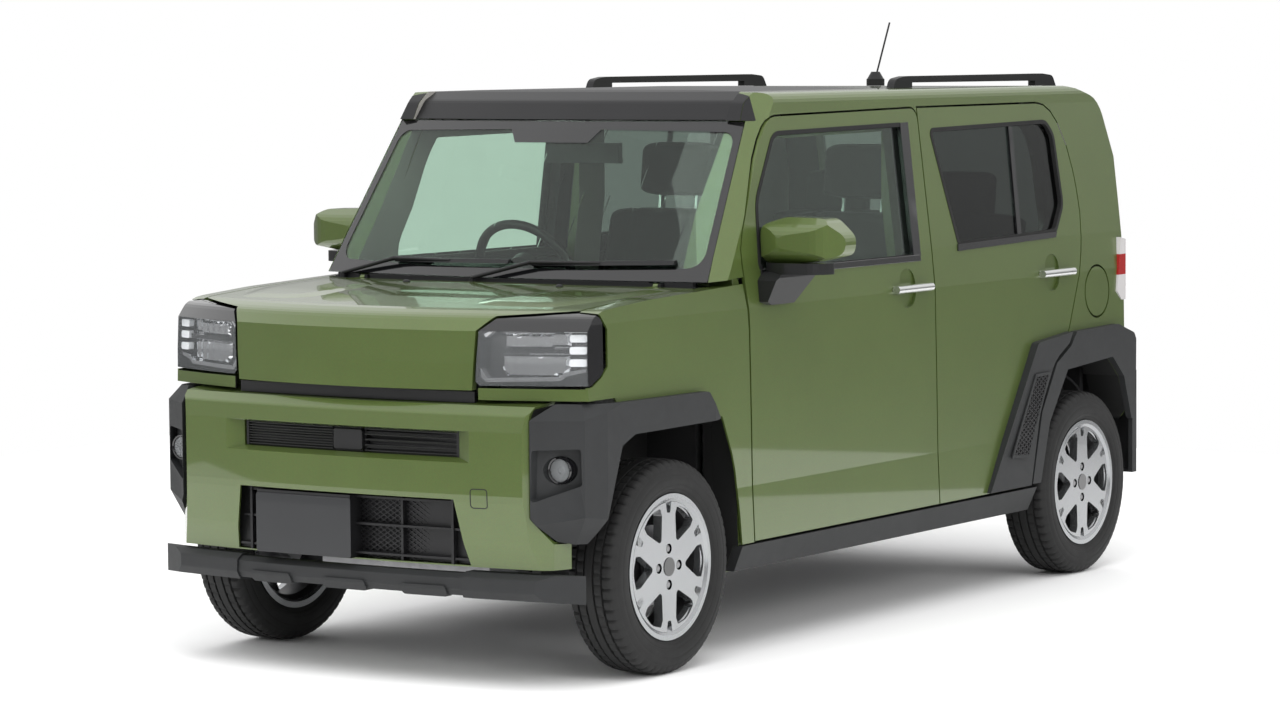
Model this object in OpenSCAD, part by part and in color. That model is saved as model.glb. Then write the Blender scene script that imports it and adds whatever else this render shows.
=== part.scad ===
/* [Vehicle] */
// Length from the front trim to the rear bumper
overall_length = 3395; // [3300:5:3500]
// Width over the arch claddings
overall_width = 1475; // [1440:5:1500]
// Distance between the axles
wheelbase = 2460; // [2440:5:2480]
// Front axle to the front of the car
front_overhang = 535; // [525:5:545]
// Highest line of the roof panel
roof_z = 1604; // [1590:2:1620]
// Gap between neighbouring panels
panel_gap = 6; // [5:0.5:7]

/* [Wheels] */
// Distance between the front tyres' centres
track_front = 1305; // [1295:1:1310]
// Distance between the rear tyres' centres
track_rear = 1295; // [1285:1:1305]
// Outer radius of the tyres
tyre_radius = 297.5; // [292:0.5:302]
// Section width of the tyres
tyre_width = 165; // [160:1:170]
// Outer radius of the rim flange
rim_radius = 203; // [198:1:208]
// Number of wide spokes on a rim
spoke_count = 6; // [5:1:7]
// Number of wheel nuts
nut_count = 4; // [3:1:5]
// Pitch circle of the wheel nuts
nut_pcd = 100; // [96:1:104]

/* [Panels] */
// Thickness of a door's outer skin
door_skin = 10; // [8:1:12]
// Depth of a whole door below its window
door_depth = 84; // [78:1:90]
// Depth of a door's frame around the window
door_frame = 50; // [44:1:56]
// Thickness of the flange that the doors close onto
flange_t = 30; // [24:1:36]
// Thickness of the fenders and the bumper skin
skin = 6; // [5:0.5:8]
// Thickness of the bonnet
bonnet_t = 20; // [16:1:24]
// Thickness of the roof
roof_t = 30; // [26:1:34]
// Thickness of the window glass
glass_t = 4; // [3:0.5:6]
// Thickness of the floor
floor_t = 40; // [35:1:50]
// Thickness of the black plastic claddings
cladding_t = 22; // [18:1:26]

/* [Cabin] */
// Height of the front seats' cushions
seat_z = 680; // [660:5:700]
// Width of one front seat
seat_w = 480; // [460:5:500]
// Outer radius of the steering wheel
steering_r = 182; // [176:1:188]
// Distance of the driver from the middle of the car
driver_x = 345; // [335:1:355]

/* [Hidden] */
$fn = 48;

paint = [0.34, 0.42, 0.16];
plastic = [0.22, 0.23, 0.24];
black = [0.05, 0.05, 0.06];
pane = [0.35, 0.45, 0.42, 0.5];
lens = [0.85, 0.88, 0.9, 0.6];
metal = [0.62, 0.64, 0.66];
cloth = [0.16, 0.17, 0.18];

// Places along the car: its front is at -Y and its left side at +X
half_l = overall_length / 2;
half_w = overall_width / 2;
front_y = -half_l;
rear_y = half_l;
axle_f = front_y + front_overhang;
axle_r = axle_f + wheelbase;
hub_z = tyre_radius;
seam_a = axle_f + 436; // front edge of the front doors
seam_b = axle_f + 1502; // between the doors
door_base = 319;
door_top = roof_z - 70;
sill_low = 240;
sill_top = door_base - panel_gap / 2;
crease_z = 985;
belt_z = 1080; // lower edge of the side windows
cowl_z = 1056;
running_gap = 0.4; // between a pane or a pin and what holds it

roof_x = half_w - 178; // edge between the roof panel and the body sides
screen_foot = axle_f + 212; // windscreen's lowest line in the middle
screen_head = axle_f + 520; // windscreen's highest line in the middle
screen_top = roof_z - 92;
tail_y = rear_y - 54; // rear face of the tailgate

// Body section: height and how far the side stands in from half the overall width
SIDE = [[200, 46], [sill_low, 46], [door_base, 14], [480, 21], [700, 24], [crease_z, 29], [1105, 41],
    [door_top, 93], [roof_z, 101]];
function side_x(z) = half_w - lookup(z, SIDE);

// Outlines are lists of [a, b, radius]; each corner with a radius becomes an arc of chords
function unit(v) = v / norm(v);
function corner_arc(p, a, b, r) =
    let (u = unit(a - p), w = unit(b - p), half = acos(max(-1, min(1, u * w))) / 2)
    r <= 0 || half > 89.5 ? [p] :
    let (cut = min(r / tan(half), 0.49 * norm(a - p), 0.49 * norm(b - p)), rr = cut * tan(half),
        c = p + unit(u + w) * rr / sin(half), s = p + u * cut, e = p + w * cut,
        a0 = atan2(s[1] - c[1], s[0] - c[0]), raw = atan2(e[1] - c[1], e[0] - c[0]) - a0,
        sweep = raw > 180 ? raw - 360 : raw < -180 ? raw + 360 : raw,
        n = max(1, ceil(abs(sweep) / 18)))
    [for (i = [0:n]) c + rr * [cos(a0 + sweep * i / n), sin(a0 + sweep * i / n)]];
function xy(p) = [p[0], p[1]];
function rounded(pts) = let (n = len(pts)) [for (i = [0:n - 1])
    each corner_arc(xy(pts[i]), xy(pts[(i + n - 1) % n]), xy(pts[(i + 1) % n]),
        len(pts[i]) > 2 ? pts[i][2] : 0)];
function reversed(l) = [for (i = [len(l) - 1:-1:0]) l[i]];
function out_normal(a, b) = let (d = unit(b - a)) [d[1], -d[0]];

// Moves each edge of a counter-clockwise outline outward by d
function grown(pts, d) = let (n = len(pts)) [for (i = [0:n - 1])
    let (p = pts[i], n1 = out_normal(pts[(i + n - 1) % n], p), n2 = out_normal(p, pts[(i + 1) % n]),
        m = unit(n1 + n2)) p + m * d / (m * n1)];

// The rounded outline of [a, b, radius] corners, moved outward by d
function line_at(pts, d = 0) = let (n = len(pts), q = [for (p = pts) xy(p)], g = grown(q, d))
    rounded([for (i = [0:n - 1]) let (turn = cross(q[i] - q[(i + n - 1) % n], q[(i + 1) % n] - q[i]))
        [g[i][0], g[i][1], len(pts[i]) > 2 ? max(1, pts[i][2] + (turn > 0 ? d : -d)) : 0]]);

// Side view outlines of the doors, along the middle of the gap round them
FRONT_DOOR = [[seam_a, door_base], [seam_b, door_base], [seam_b, door_top + 2, 40],
    [seam_a + 205, door_top - 9, 90], [seam_a + 128, roof_z - 170, 300], [seam_a - 20, belt_z + 75, 150],
    [seam_a + 2, crease_z - 40, 300]];
REAR_DOOR = [[seam_b, door_base], [axle_r - 384, door_base], [axle_r - 322, 554, 200],
    [axle_r - 220, 704, 120], [axle_r - 122, 754], [axle_r - 86, 806], [axle_r + 6, 1012, 400],
    [axle_r + 42, 1180, 400], [axle_r - 2, 1400, 400], [axle_r - 110, door_top + 4, 160],
    [seam_b, door_top + 2]];
FRONT_WINDOW = [[seam_a + 74, belt_z + 6, 25], [seam_b - 96, belt_z + 6, 15],
    [seam_b - 88, roof_z - 119, 30], [seam_a + 226, roof_z - 130, 60], [seam_a + 96, belt_z + 205, 120]];
REAR_WINDOW = [[seam_b + 172, belt_z + 29, 20], [axle_r - 148, belt_z + 44, 40],
    [axle_r - 82, belt_z + 128, 60], [axle_r - 96, roof_z - 170, 60], [axle_r - 140, roof_z - 128, 50],
    [seam_b + 68, roof_z - 140, 15]];
hinge_set = 60; // hinge axis behind the door's front edge
hinge_x = side_x(700) - 24;
HINGE_Z = [470, 880];
hinge_r = 9;
pin_r = 6;
glass_set = 12; // how far the side windows stand in from the body's surface

// Wheel arches in the side view
REAR_ARCH = [[axle_r - 335, 190], [axle_r - 328, 326], [axle_r - 266, 517], [axle_r - 143, 676],
    [axle_r + 172, 696], [axle_r + 253, 627], [axle_r + 312, 485], [axle_r + 300, 300],
    [axle_r + 300, 190]];
pillar_front = seam_a - 70;
quarter_base = 480;
TAIL = [[tail_y, quarter_base], [tail_y, 780], [tail_y - 10, roof_z - 310, 220],
    [rear_y - 152, roof_z - 62, 110], [rear_y - 330, roof_z - 15, 250], [0, roof_z + 1]];
HEADER = [[screen_head + 112, roof_z - 6, 60], [screen_head + 64, roof_z - 42, 40]];
SIDE_OUTLINE = concat([[screen_foot + 65, cowl_z + 9], [seam_a - 19, cowl_z + 18], [0, cowl_z + 18],
    [0, door_base + 40],
    [axle_r, door_base + 40], [axle_r + 250, quarter_base]], TAIL, HEADER);
FLANGE_OUTLINE = concat([[pillar_front, sill_low + 12], [axle_r - 345, sill_low + 12],
    [axle_r, 480], [axle_r + 250, quarter_base + 40]], [for (p = TAIL) if (p[1] > 500) p - [60, 20]],
    [[screen_head + 140, roof_z - 40, 60], [screen_foot + 120, cowl_z + 10], [pillar_front, cowl_z + 10]]);
HINGE_PILLAR = [[pillar_front + 1, sill_top - 1], [seam_a - 8, sill_top - 1], [seam_a - 8, crease_z],
    [seam_a - 26, belt_z - 10], [seam_a - 58, belt_z - 10], [seam_a - 58, cowl_z - 14],
    [pillar_front + 1, cowl_z - 14]];
SILL = [[pillar_front + 2, sill_low - 4], [axle_r - 345, sill_low - 4], [axle_r - 345, sill_top],
    [pillar_front + 2, sill_top]];
flange_out = door_depth + 6;
flange_lap = 72; // how far the flange reaches behind a door
flange_in = flange_out + flange_t;
pillar_set = 12;
sill_set = 28;

// Extrusions of a flat outline along X (outline in Y, Z), along Y (in X, Z) and along Z
module along_x(x0, x1) {
    multmatrix([[0, 0, 1, x0], [1, 0, 0, 0], [0, 1, 0, 0], [0, 0, 0, 1]])
        linear_extrude(x1 - x0) children();
}
module along_y(y0, y1) {
    multmatrix([[1, 0, 0, 0], [0, 0, -1, y1], [0, 1, 0, 0], [0, 0, 0, 1]])
        linear_extrude(y1 - y0) children();
}
module along_z(z0, z1) {
    translate([0, 0, z0]) linear_extrude(z1 - z0) children();
}
module both_sides() {
    children();
    mirror([1, 0, 0]) children();
}
module on_side(s) {
    if (s > 0) children();
    else mirror([1, 0, 0]) children();
}
module block(lo, hi) {
    translate(lo) cube(hi - lo);
}
module bar(a, b, r) {
    d = b - a;
    translate(a) rotate([0, acos(d[2] / norm(d)), atan2(d[1], d[0])]) cylinder(r = r, h = norm(d));
}

// Left half of the body's section moved in by d, and the band between two such lines
function half_section(d) = let (rd = min(d, roof_t)) rounded(concat(
    [for (s = SIDE) if (s[0] < roof_z - 20) [half_w - s[1] - d, s[0]]],
    [[half_w - 98 - d, roof_z - 13 - rd, 46], [roof_x, roof_z - 9 - rd], [roof_x - 160, roof_z - 5 - rd],
        [0, roof_z - rd], [0, SIDE[0][0]]]));
module band(d0, d1) {
    difference() {
        polygon(half_section(d0));
        polygon(concat([[-1, 100], [half_section(d1)[0][0], 100]],
            [for (p = half_section(d1)) if (p[0] > 0) p], [[-1, roof_z - min(d1, roof_t)]]));
    }
}
module side_layer(d0, d1, y0, y1) {
    along_y(y0, y1) band(d0, d1);
}

// A layer of the left side between insets d0 and d1, cut to a flat side view outline
module side_panel(d0, d1, x0 = 0) {
    intersection() {
        side_layer(d0, d1, front_y, rear_y);
        along_x(x0, half_w + 1) children();
    }
}
module frame_around(outer, inner) {
    difference() {
        polygon(outer);
        polygon(inner);
    }
}

// Doors: a skin to the panel gaps and a box behind it that leaves the hinge pocket free
module door_box_line(outline, seam) {
    difference() {
        polygon(line_at(outline, -22));
        translate([seam - 60, 0]) square([hinge_set + 76, belt_z - 5]);
    }
}
module door_solid(outline, window, seam) {
    side_panel(0, door_skin) frame_around(line_at(outline, -panel_gap / 2), line_at(window));
    side_panel(door_skin - 2, door_frame) difference() {
        door_box_line(outline, seam);
        polygon(line_at(window));
    }
    side_panel(door_frame - 2, door_depth) intersection() {
        door_box_line(outline, seam);
        translate([front_y, 0]) square([overall_length, belt_z - 20]);
    }
    door_ears(seam);
}
module door_ears(seam) {
    for (z = HINGE_Z, s = [-1, 1]) difference() {
        union() {
            block([hinge_x - hinge_r, seam + hinge_set, z + s * 15 - 7],
                [hinge_x + hinge_r, seam + hinge_set + 20, z + s * 15 + 7]);
            translate([hinge_x, seam + hinge_set, z + s * 15 - 7]) cylinder(r = hinge_r, h = 14);
        }
        translate([hinge_x, seam + hinge_set, z + s * 15 - 8]) cylinder(r = pin_r + running_gap, h = 16);
    }
}
module hinge_leaves(seam) {
    for (z = HINGE_Z) {
        translate([hinge_x, seam + hinge_set, z - 22]) cylinder(r = pin_r, h = 44);
        translate([hinge_x, seam + hinge_set, z - 7.5]) cylinder(r = hinge_r, h = 15);
        block([side_x(z) - door_depth - 10, seam + hinge_set - hinge_r, z - 7.5],
            [hinge_x, seam + hinge_set + hinge_r, z + 7.5]);
    }
}
module front_door() {
    difference() {
        door_solid(FRONT_DOOR, FRONT_WINDOW, seam_a);
        handle_cup(seam_b - 156);
    }
    handle_bar(seam_b - 156);
}
module rear_door() {
    difference() {
        door_solid(REAR_DOOR, REAR_WINDOW, seam_b);
        handle_cup(axle_r - 186);
    }
    handle_bar(axle_r - 186);
    intersection() {
        side_layer(-cladding_t - 4, 1, front_y, rear_y);
        along_x(0, half_w) polygon(line_at(DOOR_CLAD));
    }
}
DOOR_CLAD = [[axle_r - 660, door_base + 6], [axle_r - 393, door_base + 6], [axle_r - 332, 558, 200],
    [axle_r - 230, 712, 120], [axle_r - 132, 762], [axle_r - 106, 797], [axle_r - 342, 776, 20]];
handle_z = 992;
handle_half = 106;
module handle_cup(y) {
    translate([side_x(handle_z) - 9, y, handle_z]) rotate([0, 90, 0]) linear_extrude(80)
        polygon(rounded([[-60, -56, 44], [58, -56, 44], [58, 38, 44], [-60, 38, 44]]));
}
module handle_bar(y) {
    x = side_x(handle_z) + 17;
    bar([x, y - handle_half, handle_z], [x, y + handle_half, handle_z], 12);
    for (s = [-1, 1]) bar([x, y + s * (handle_half - 14), handle_z],
        [x - 24, y + s * (handle_half - 14), handle_z], 11);
}
module side_pane(window) {
    side_panel(glass_set, glass_set + glass_t) polygon(line_at(window, -running_gap));
}
module door_front_left() {
    color(paint) front_door();
}
module door_front_right() {
    color(paint) on_side(-1) front_door();
}
module door_rear_left() {
    color(paint) rear_door();
}
module door_rear_right() {
    color(paint) on_side(-1) rear_door();
}
module glass_front_left() {
    color(pane) side_pane(FRONT_WINDOW);
}
module glass_front_right() {
    color(pane) on_side(-1) side_pane(FRONT_WINDOW);
}
module glass_rear_left() {
    color(pane) side_pane(REAR_WINDOW);
}
module glass_rear_right() {
    color(pane) on_side(-1) side_pane(REAR_WINDOW);
}

// Body sides: pillars, roof rail and quarter panel, the flange behind the doors and the sill
module body_side() {
    difference() {
        side_panel(0, flange_in, roof_x) difference() {
            polygon(line_at(SIDE_OUTLINE));
            polygon(line_at(FRONT_DOOR, panel_gap / 2));
            polygon(line_at(REAR_DOOR, panel_gap / 2));
            polygon(REAR_ARCH);
        }
        along_z(0, 2000) polygon(rounded([[half_w + 1, tail_y - 60], [half_w + 1, rear_y],
            [gate_half, rear_y],
            [gate_half + 3, tail_y - 24], [half_w - 36, tail_y - 34, 60]]));
        screen_rebate();
        both_sides() beyond(pane_corner(screen_half_low, cowl_z + 8), pane_corner(screen_half_top,
            screen_top),
            pane_corner(screen_half_low, cowl_z + 8) + [26, 60, 0]);
        tail_lamp_form(-running_gap);
        gate_form(-panel_gap);
    }
    difference() {
        side_panel(flange_out, flange_in, roof_x) difference() {
            polygon(line_at(FLANGE_OUTLINE));
            polygon(line_at(FRONT_DOOR, -flange_lap));
            polygon(line_at(REAR_DOOR, -flange_lap));
            polygon(REAR_ARCH);
        }
        tail_lamp_form(-running_gap);
        gate_form(-panel_gap);
    }
    side_panel(pillar_set, flange_out + 2) polygon(HINGE_PILLAR);
    side_panel(sill_set, flange_out + 2) polygon(SILL);
    hinge_leaves(seam_a);
    hinge_leaves(seam_b);
}
module body_sides() {
    color(paint) {
        difference() {
            body_side();
            fuel_recess();
        }
        fuel_filler();
        on_side(-1) body_side();
    }
}

// Roof: a black header and glass at the front, the painted panel behind, all to the same section
ROOF_TOP = concat(TAIL, [[screen_head + 112, roof_z - 6, 60], [screen_head + 50, roof_z - 34, 40]]);
roof_cut = 200; // between the roof glass and the painted roof
gate_y = rear_y - 300; // between the roof and the tailgate
module full_section(d = 0) {
    h = half_section(d);
    polygon(h);
    mirror([1, 0]) polygon(h);
}
module roof_piece(y0, y1) {
    intersection() {
        along_y(y0, y1) difference() {
            full_section(0);
            full_section(roof_t);
        }
        along_x(-roof_x + running_gap, roof_x - running_gap)
            polygon(line_at(concat([[screen_head, 1300]], ROOF_TOP, [[screen_head, screen_top + 3]])));
    }
}
module roof_panel() {
    color(paint) difference() {
        roof_piece(roof_cut + panel_gap / 2, gate_y - panel_gap / 2);
        both_sides() block([gate_pin_x - 14, gate_pin_y - 12, roof_z - 60],
            [gate_pin_x + 14, gate_y, gate_pin_z + 9]);
    }
    color(paint) both_sides() gate_hinge_pin();
}
module roof_glass() {
    color(black) roof_piece(screen_head + 172 + panel_gap / 2, roof_cut - panel_gap / 2);
    color(black) header();
}

// Header: follows the windscreen's bow
HEADER_TOP = [[screen_head, screen_top + 3], [screen_head + 24, screen_top + 3],
    [screen_head + 78, roof_z - 48],
    [screen_head + 172, roof_z - 42], [screen_head + 172, roof_z + 1], [screen_head + 112, roof_z - 6, 60],
    [screen_head + 46, roof_z - 36, 40]];
header_end = screen_head + 172;
module header() {
    intersection() {
        turned(line_at(HEADER_TOP), screen_r * cos(screen_lean), screen_head);
        along_y(front_y, header_end) full_section(0);
        block([running_gap - roof_x, front_y, screen_top], [roof_x - running_gap, 0, roof_z + 2]);
    }
}

function pane_corner(x, z) = [x + 2, foot_y(x + 2) + (z - cowl_z - 8) * tan(screen_lean), z];

// The space beyond the plane through three points, on the side that they turn clockwise to
module beyond(p, q, r) {
    n = unit(cross(r - p, q - p));
    translate(p) rotate([0, acos(n[2]), atan2(n[1], n[0])]) translate([-900, -900, 0])
        cube([1800, 1800, 300]);
}

// Windscreen: a bowed pane laid back between the cowl and the header
screen_lean = atan((screen_head - screen_foot) / (screen_top - cowl_z - 8));
screen_r = 4300;
screen_t = 5;
screen_half_low = half_w - 64;
screen_half_top = half_w - 122;
function screen_arc(d) = [for (i = [-8:8])
    let (x = i * 90) [x, screen_r - sqrt(screen_r * screen_r - x * x) + d]];
module screen_slab(outline) {
    intersection() {
        translate([0, screen_foot, cowl_z + 8]) rotate([-screen_lean, 0, 0])
            translate([0, 0, -90]) linear_extrude(760) polygon(outline);
        children();
    }
}
module screen_front_view(grow) {
    along_y(front_y, 0) polygon(grown([[-screen_half_low, cowl_z + 8], [screen_half_low, cowl_z + 8],
        [screen_half_top, screen_top], [-screen_half_top, screen_top]], grow));
}
module windscreen() {
    color(pane) screen_slab(concat(screen_arc(0), reversed(screen_arc(screen_t)))) screen_front_view(0);
}
module screen_rebate() {
    screen_slab(concat([[-760, -300], [760, -300]], reversed(screen_arc(screen_t + running_gap))))
        screen_front_view(running_gap);
}

// Nose: the bonnet's face and top turn about a far upright axis, the fenders follow the body section
nose_r = 1800;
nose_y = front_y + 14; // bonnet's face in the middle
NOSE = [[seam_a + 90, 250], [seam_a + 90, cowl_z + 20], [screen_foot - 6, cowl_z],
    [nose_y + 280, 1037, 600],
    [nose_y + 75, 1021, 150], [nose_y + 32, 1003, 40], [nose_y + 4, 968], [nose_y, 880], [nose_y, 250]];
module nose_solid(d) {
    translate([0, nose_y + nose_r, 0]) rotate([0, 0, -140]) rotate_extrude(angle = 100, $fn = 720)
        polygon([for (p = line_at(NOSE, -d)) [nose_y + nose_r - p[0], p[1]]]);
}
bonnet_low = 808;
lamp_in = 408; // lamp's inner edge
bonnet_side = half_w - 88; // seam between the bonnet and a fender
module bonnet() {
    color(paint) intersection() {
        difference() {
            nose_solid(0);
            nose_solid(bonnet_t);
        }
        along_y(front_y, 0) polygon([[-lamp_in + 6, bonnet_low], [lamp_in - 6, bonnet_low],
            [lamp_in + 4, 969],
            [lamp_in + 40, 1007], [bonnet_side - 3, 1020], [bonnet_side - 3, 1100], [3 - bonnet_side, 1100],
            [3 - bonnet_side, 1020], [-lamp_in - 40, 1007], [-lamp_in - 4, 969]]);
        along_z(700, 1100) polygon(concat([[-bonnet_side, front_y],
            [bonnet_side, front_y]], bonnet_edge(0)));
    }
    color(paint) both_sides() difference() {
        union() {
            block([bonnet_arm_x - 8, screen_foot - 60, bonnet_pin_z - 8],
                [bonnet_arm_x + 8, bonnet_pin_y, bonnet_pin_z + 2]);
            translate([bonnet_arm_x - 8, bonnet_pin_y, bonnet_pin_z]) rotate([0, 90, 0])
                cylinder(r = hinge_r, h = 16);
        }
        translate([bonnet_arm_x - 9, bonnet_pin_y, bonnet_pin_z]) rotate([0, 90, 0])
            cylinder(r = pin_r + running_gap, h = 18);
    }
}
bonnet_arm_x = 520;
bonnet_pin_y = screen_foot + 36;
bonnet_pin_z = cowl_z - 5;
// The bonnet's rear edge from its left corner to the right one, moved back by d
function bonnet_edge(d) = [for (p = [[bonnet_side, 30], [300, -32], [0, -40], [-300, -32],
    [-bonnet_side, 30]])
    [p[0], screen_foot + p[1] + d]];

// Cowl: the black tray under the windscreen's foot, with the bonnet's hinge pins
cowl_top = cowl_z - 6;
function foot_y(x) = screen_foot + (screen_r - sqrt(screen_r * screen_r - x * x)) / cos(screen_lean);
module cowl() {
    color(black) {
        difference() {
            union() {
                difference() {
                    cowl_tray(8, cowl_z - 60, cowl_top, 7);
                    cowl_tray(18, cowl_z - 52, cowl_top - 6, -40);
                }
                along_z(cowl_top - 4, cowl_z + 8 - running_gap)
                    polygon(concat([for (i = [-7:7]) [i * 90, foot_y(i * 90) - 2]],
                    [for (i = [7:-1:-7]) [i * 90, foot_y(i * 90) + 12]]));
            }
            both_sides() block([bonnet_arm_x - 24, screen_foot - 60, cowl_z - 52],
                [bonnet_arm_x + 24, bonnet_pin_y + 30, cowl_z + 20]);
        }
        both_sides() {
            translate([bonnet_arm_x - 20, bonnet_pin_y, bonnet_pin_z]) rotate([0, 90, 0])
                cylinder(r = pin_r, h = 40);
            for (x = [bonnet_arm_x - 20, bonnet_arm_x + 10])
                block([x, bonnet_pin_y - 9, cowl_z - 56], [x + 10, bonnet_pin_y + 9, bonnet_pin_z + 9]);
        }
    }
}
module cowl_tray(inset, z0, z1, front) {
    intersection() {
        along_z(z0, z1) polygon(concat([[-bonnet_side - 9, 0], [bonnet_side + 9, 0]], bonnet_edge(front)));
        block([inset - bonnet_side, screen_foot - 90, z0 - 1],
            [bonnet_side - inset, pillar_front + 7 - inset, z1 + 1]);
    }
}

// Fenders: the side skin from the bumper's seam to the front door, and the strip beside the bonnet
FENDER = [[seam_a, door_base - 3], [seam_a, crease_z - 40, 300], [seam_a - 20, belt_z - 12],
    [seam_a - 260, cowl_z + 60],
    [front_y, cowl_z + 60], [front_y, 1027], [axle_f - 354, 1028], [axle_f - 309, 1007],
    [axle_f - 280, 970],
    [axle_f - 282, 870], [axle_f - 310, 845], [axle_f - 356, 822], [front_y, 818], [front_y, 780],
    [axle_f - 250, 780], [axle_f - 187, 681], [axle_f + 283, 687], [axle_f + 341, 556, 200],
    [axle_f + 361, 427, 300], [axle_f + 368, door_base - 3]];
FENDER_TOP = [[front_y, 1026], [axle_f - 354, 1029], [axle_f - 309, 1011], [seam_a - 60, 1008],
    [seam_a - 60, belt_z],
    [seam_a - 258, cowl_z + 60], [front_y, cowl_z + 60]];
module fender() {
    intersection() {
        side_layer(0, skin, front_y, 0);
        along_x(bonnet_side, half_w) polygon(line_at(FENDER, -panel_gap / 2));
        nose_solid(0);
    }
    intersection() {
        difference() {
            nose_solid(0);
            nose_solid(skin);
        }
        along_y(front_y, 0) polygon(half_section(2));
        along_x(bonnet_side + 3, half_w) polygon(FENDER_TOP);
    }
    intersection() {
        difference() {
            nose_solid(0);
            nose_solid(skin);
        }
        along_y(front_y, 0) polygon([[lamp_in + 12, 783], [half_w - 24, 783], [half_w - 26, 815],
            [lamp_in + 12, 815]]);
        along_x(0, half_w) polygon([[front_y, 700], [axle_f - 330, 700], [axle_f - 330, 900],
            [front_y, 900]]);
    }
}
module nose_body(d) {
    intersection() {
        nose_solid(d);
        along_y(front_y, 0) polygon(half_section(d));
    }
}
module fenders() {
    color(paint) both_sides() fender();
}

// Front bumper: a skin turned about a far upright axis, cut for the slot and the lower grille
bumper_r = 4400;
function bumper_side(back) = [[front_y + 170 + back, 786], [front_y + 30, 770], [front_y + 6, 748, 12],
    [front_y, 700, 30], [front_y, 520, 200],
    [front_y + 12, 400, 100], [front_y + 30, 332], [front_y + 170 + back, 328]];
trim_top = 320;
module bumper_plan(d) {
    polygon([[-half_w + 85 + d, front_y + 330], [-half_w + 85 + d, front_y + 160],
        [-half_w + 97 + d, front_y + 97 + d],
        [-half_w + 160 + d, front_y + 36 + d], [-half_w + 180, front_y - 1], [half_w - 180, front_y - 1],
        [half_w - 160 - d, front_y + 36 + d], [half_w - 97 - d, front_y + 97 + d],
        [half_w - 85 - d, front_y + 160],
        [half_w - 85 - d, front_y + 330]]);
}
module turned(outline, r, y0) {
    translate([0, y0 + r, 0]) rotate([0, 0, -102]) rotate_extrude(angle = 24, $fn = 1440)
        polygon([for (p = outline) [y0 + r - p[0], p[1]]]);
}
module bumper_form(d, back = 0) {
    intersection() {
        turned(line_at(bumper_side(back), -d), bumper_r, front_y);
        along_z(200, 900) bumper_plan(d);
    }
}
slot_low = 616;
slot_top = 702;
slot_half = 420;
slot_deep = 26; // depth of the slot's slanted sides
slot_slant = 49; // how far its ends come in
grille_top = 516;
grille_low = 336;
module slot_cut() {
    intersection() {
        along_z(slot_low, slot_top) polygon([[-slot_half - 4, front_y - 1], [slot_half + 4, front_y - 1],
            [slot_half + 4, front_y + 18], [slot_half - slot_slant, front_y + slot_deep + 16],
            [slot_half - slot_slant, front_y + 90], [slot_slant - slot_half, front_y + 90],
            [slot_slant - slot_half, front_y + slot_deep + 16], [-slot_half - 4, front_y + 18]]);
        turned([[front_y - 1, slot_low], [front_y + slot_deep, slot_low + 11],
            [front_y + 90, slot_low + 11], [front_y + 90, slot_top - 7],
            [front_y + slot_deep, slot_top - 7],
            [front_y - 1, slot_top]], bumper_r, front_y);
    }
}
module bumper_front() {
    color(paint) intersection() {
        difference() {
            bumper_form(0);
            difference() {
                bumper_form(skin, 100);
                along_y(front_y, front_y + slot_deep + 33) polygon([[-slot_half - 12, slot_low - 12],
                    [slot_half + 12, slot_low - 12], [slot_half + 12, slot_top + 12],
                    [-slot_half - 12, slot_top + 12]]);
            }
            slot_cut();
            along_y(front_y - 1, front_y + 90) polygon([[-402, grille_low], [402, grille_low],
                [368, grille_top], [-368, grille_top]]);
        }
        along_y(front_y, 0) polygon([[-740, trim_top + 6], [740, trim_top + 6], [740, 384], [705, 385],
            [640, 402], [594, 471],
            [594, 745], [606, 790], [-606, 790], [-594, 745], [-594, 471], [-640, 402], [-705, 385],
            [-740, 384]]);
        block([-half_w, front_y, 0], [half_w, front_y + 162, 800]);
    }
}

// Grille: bars behind the bumper's slot with the sensor between them, and the lower grid
module grille() {
    slot_in = slot_half - slot_slant;
    color(black) {
        for (z = [slot_low + 22:20:slot_top - 20])
            translate([0, 0, z]) turned_bar(front_y + 45, 14, 6, slot_in + 14);
        block([-46, front_y + 38, slot_low + 12], [46, front_y + 56, slot_top - 8]);
        for (x = [4 - slot_in, 46, slot_in - 12])
            block([x, front_y + 46, slot_low + 12], [x + 8, front_y + 62, slot_top - 8]);
        translate([0, 0, bonnet_low - 34]) turned_bar(front_y + 50, 10, 30, lamp_in - 4);
        for (z = [grille_low + 12, 428, grille_top - 14])
            translate([0, 0, z]) turned_bar(front_y + 30, 30, 6, 366 + (grille_top - z) * 0.17);
        for (x = [-350, 176, 346])
            block([x - 4, front_y + 40, grille_low + 1], [x + 4, front_y + 62, grille_top - 1]);
        block([-slot_half + 6, front_y + 60, grille_low + 2], [slot_half - 6, front_y + 66, slot_top - 2]);
        difference() {
            block([plate_x - 162, front_y + 4, grille_low + running_gap],
                [plate_x + 162, front_y + 62, grille_top - 6]);
            for (s = [-1, 1]) translate([plate_x + s * plate_pitch / 2, front_y + 3, plate_z])
                rotate([-90, 0, 0])
                cylinder(r = plate_hole_r, h = 26);
        }
    }
}
module turned_bar(y0, depth, h, half) {
    intersection() {
        turned([[y0, 0], [y0 + depth, 0], [y0 + depth, h], [y0, h]], bumper_r, front_y);
        block([-half, front_y, -1], [half, 0, h + 1]);
    }
}

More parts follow.
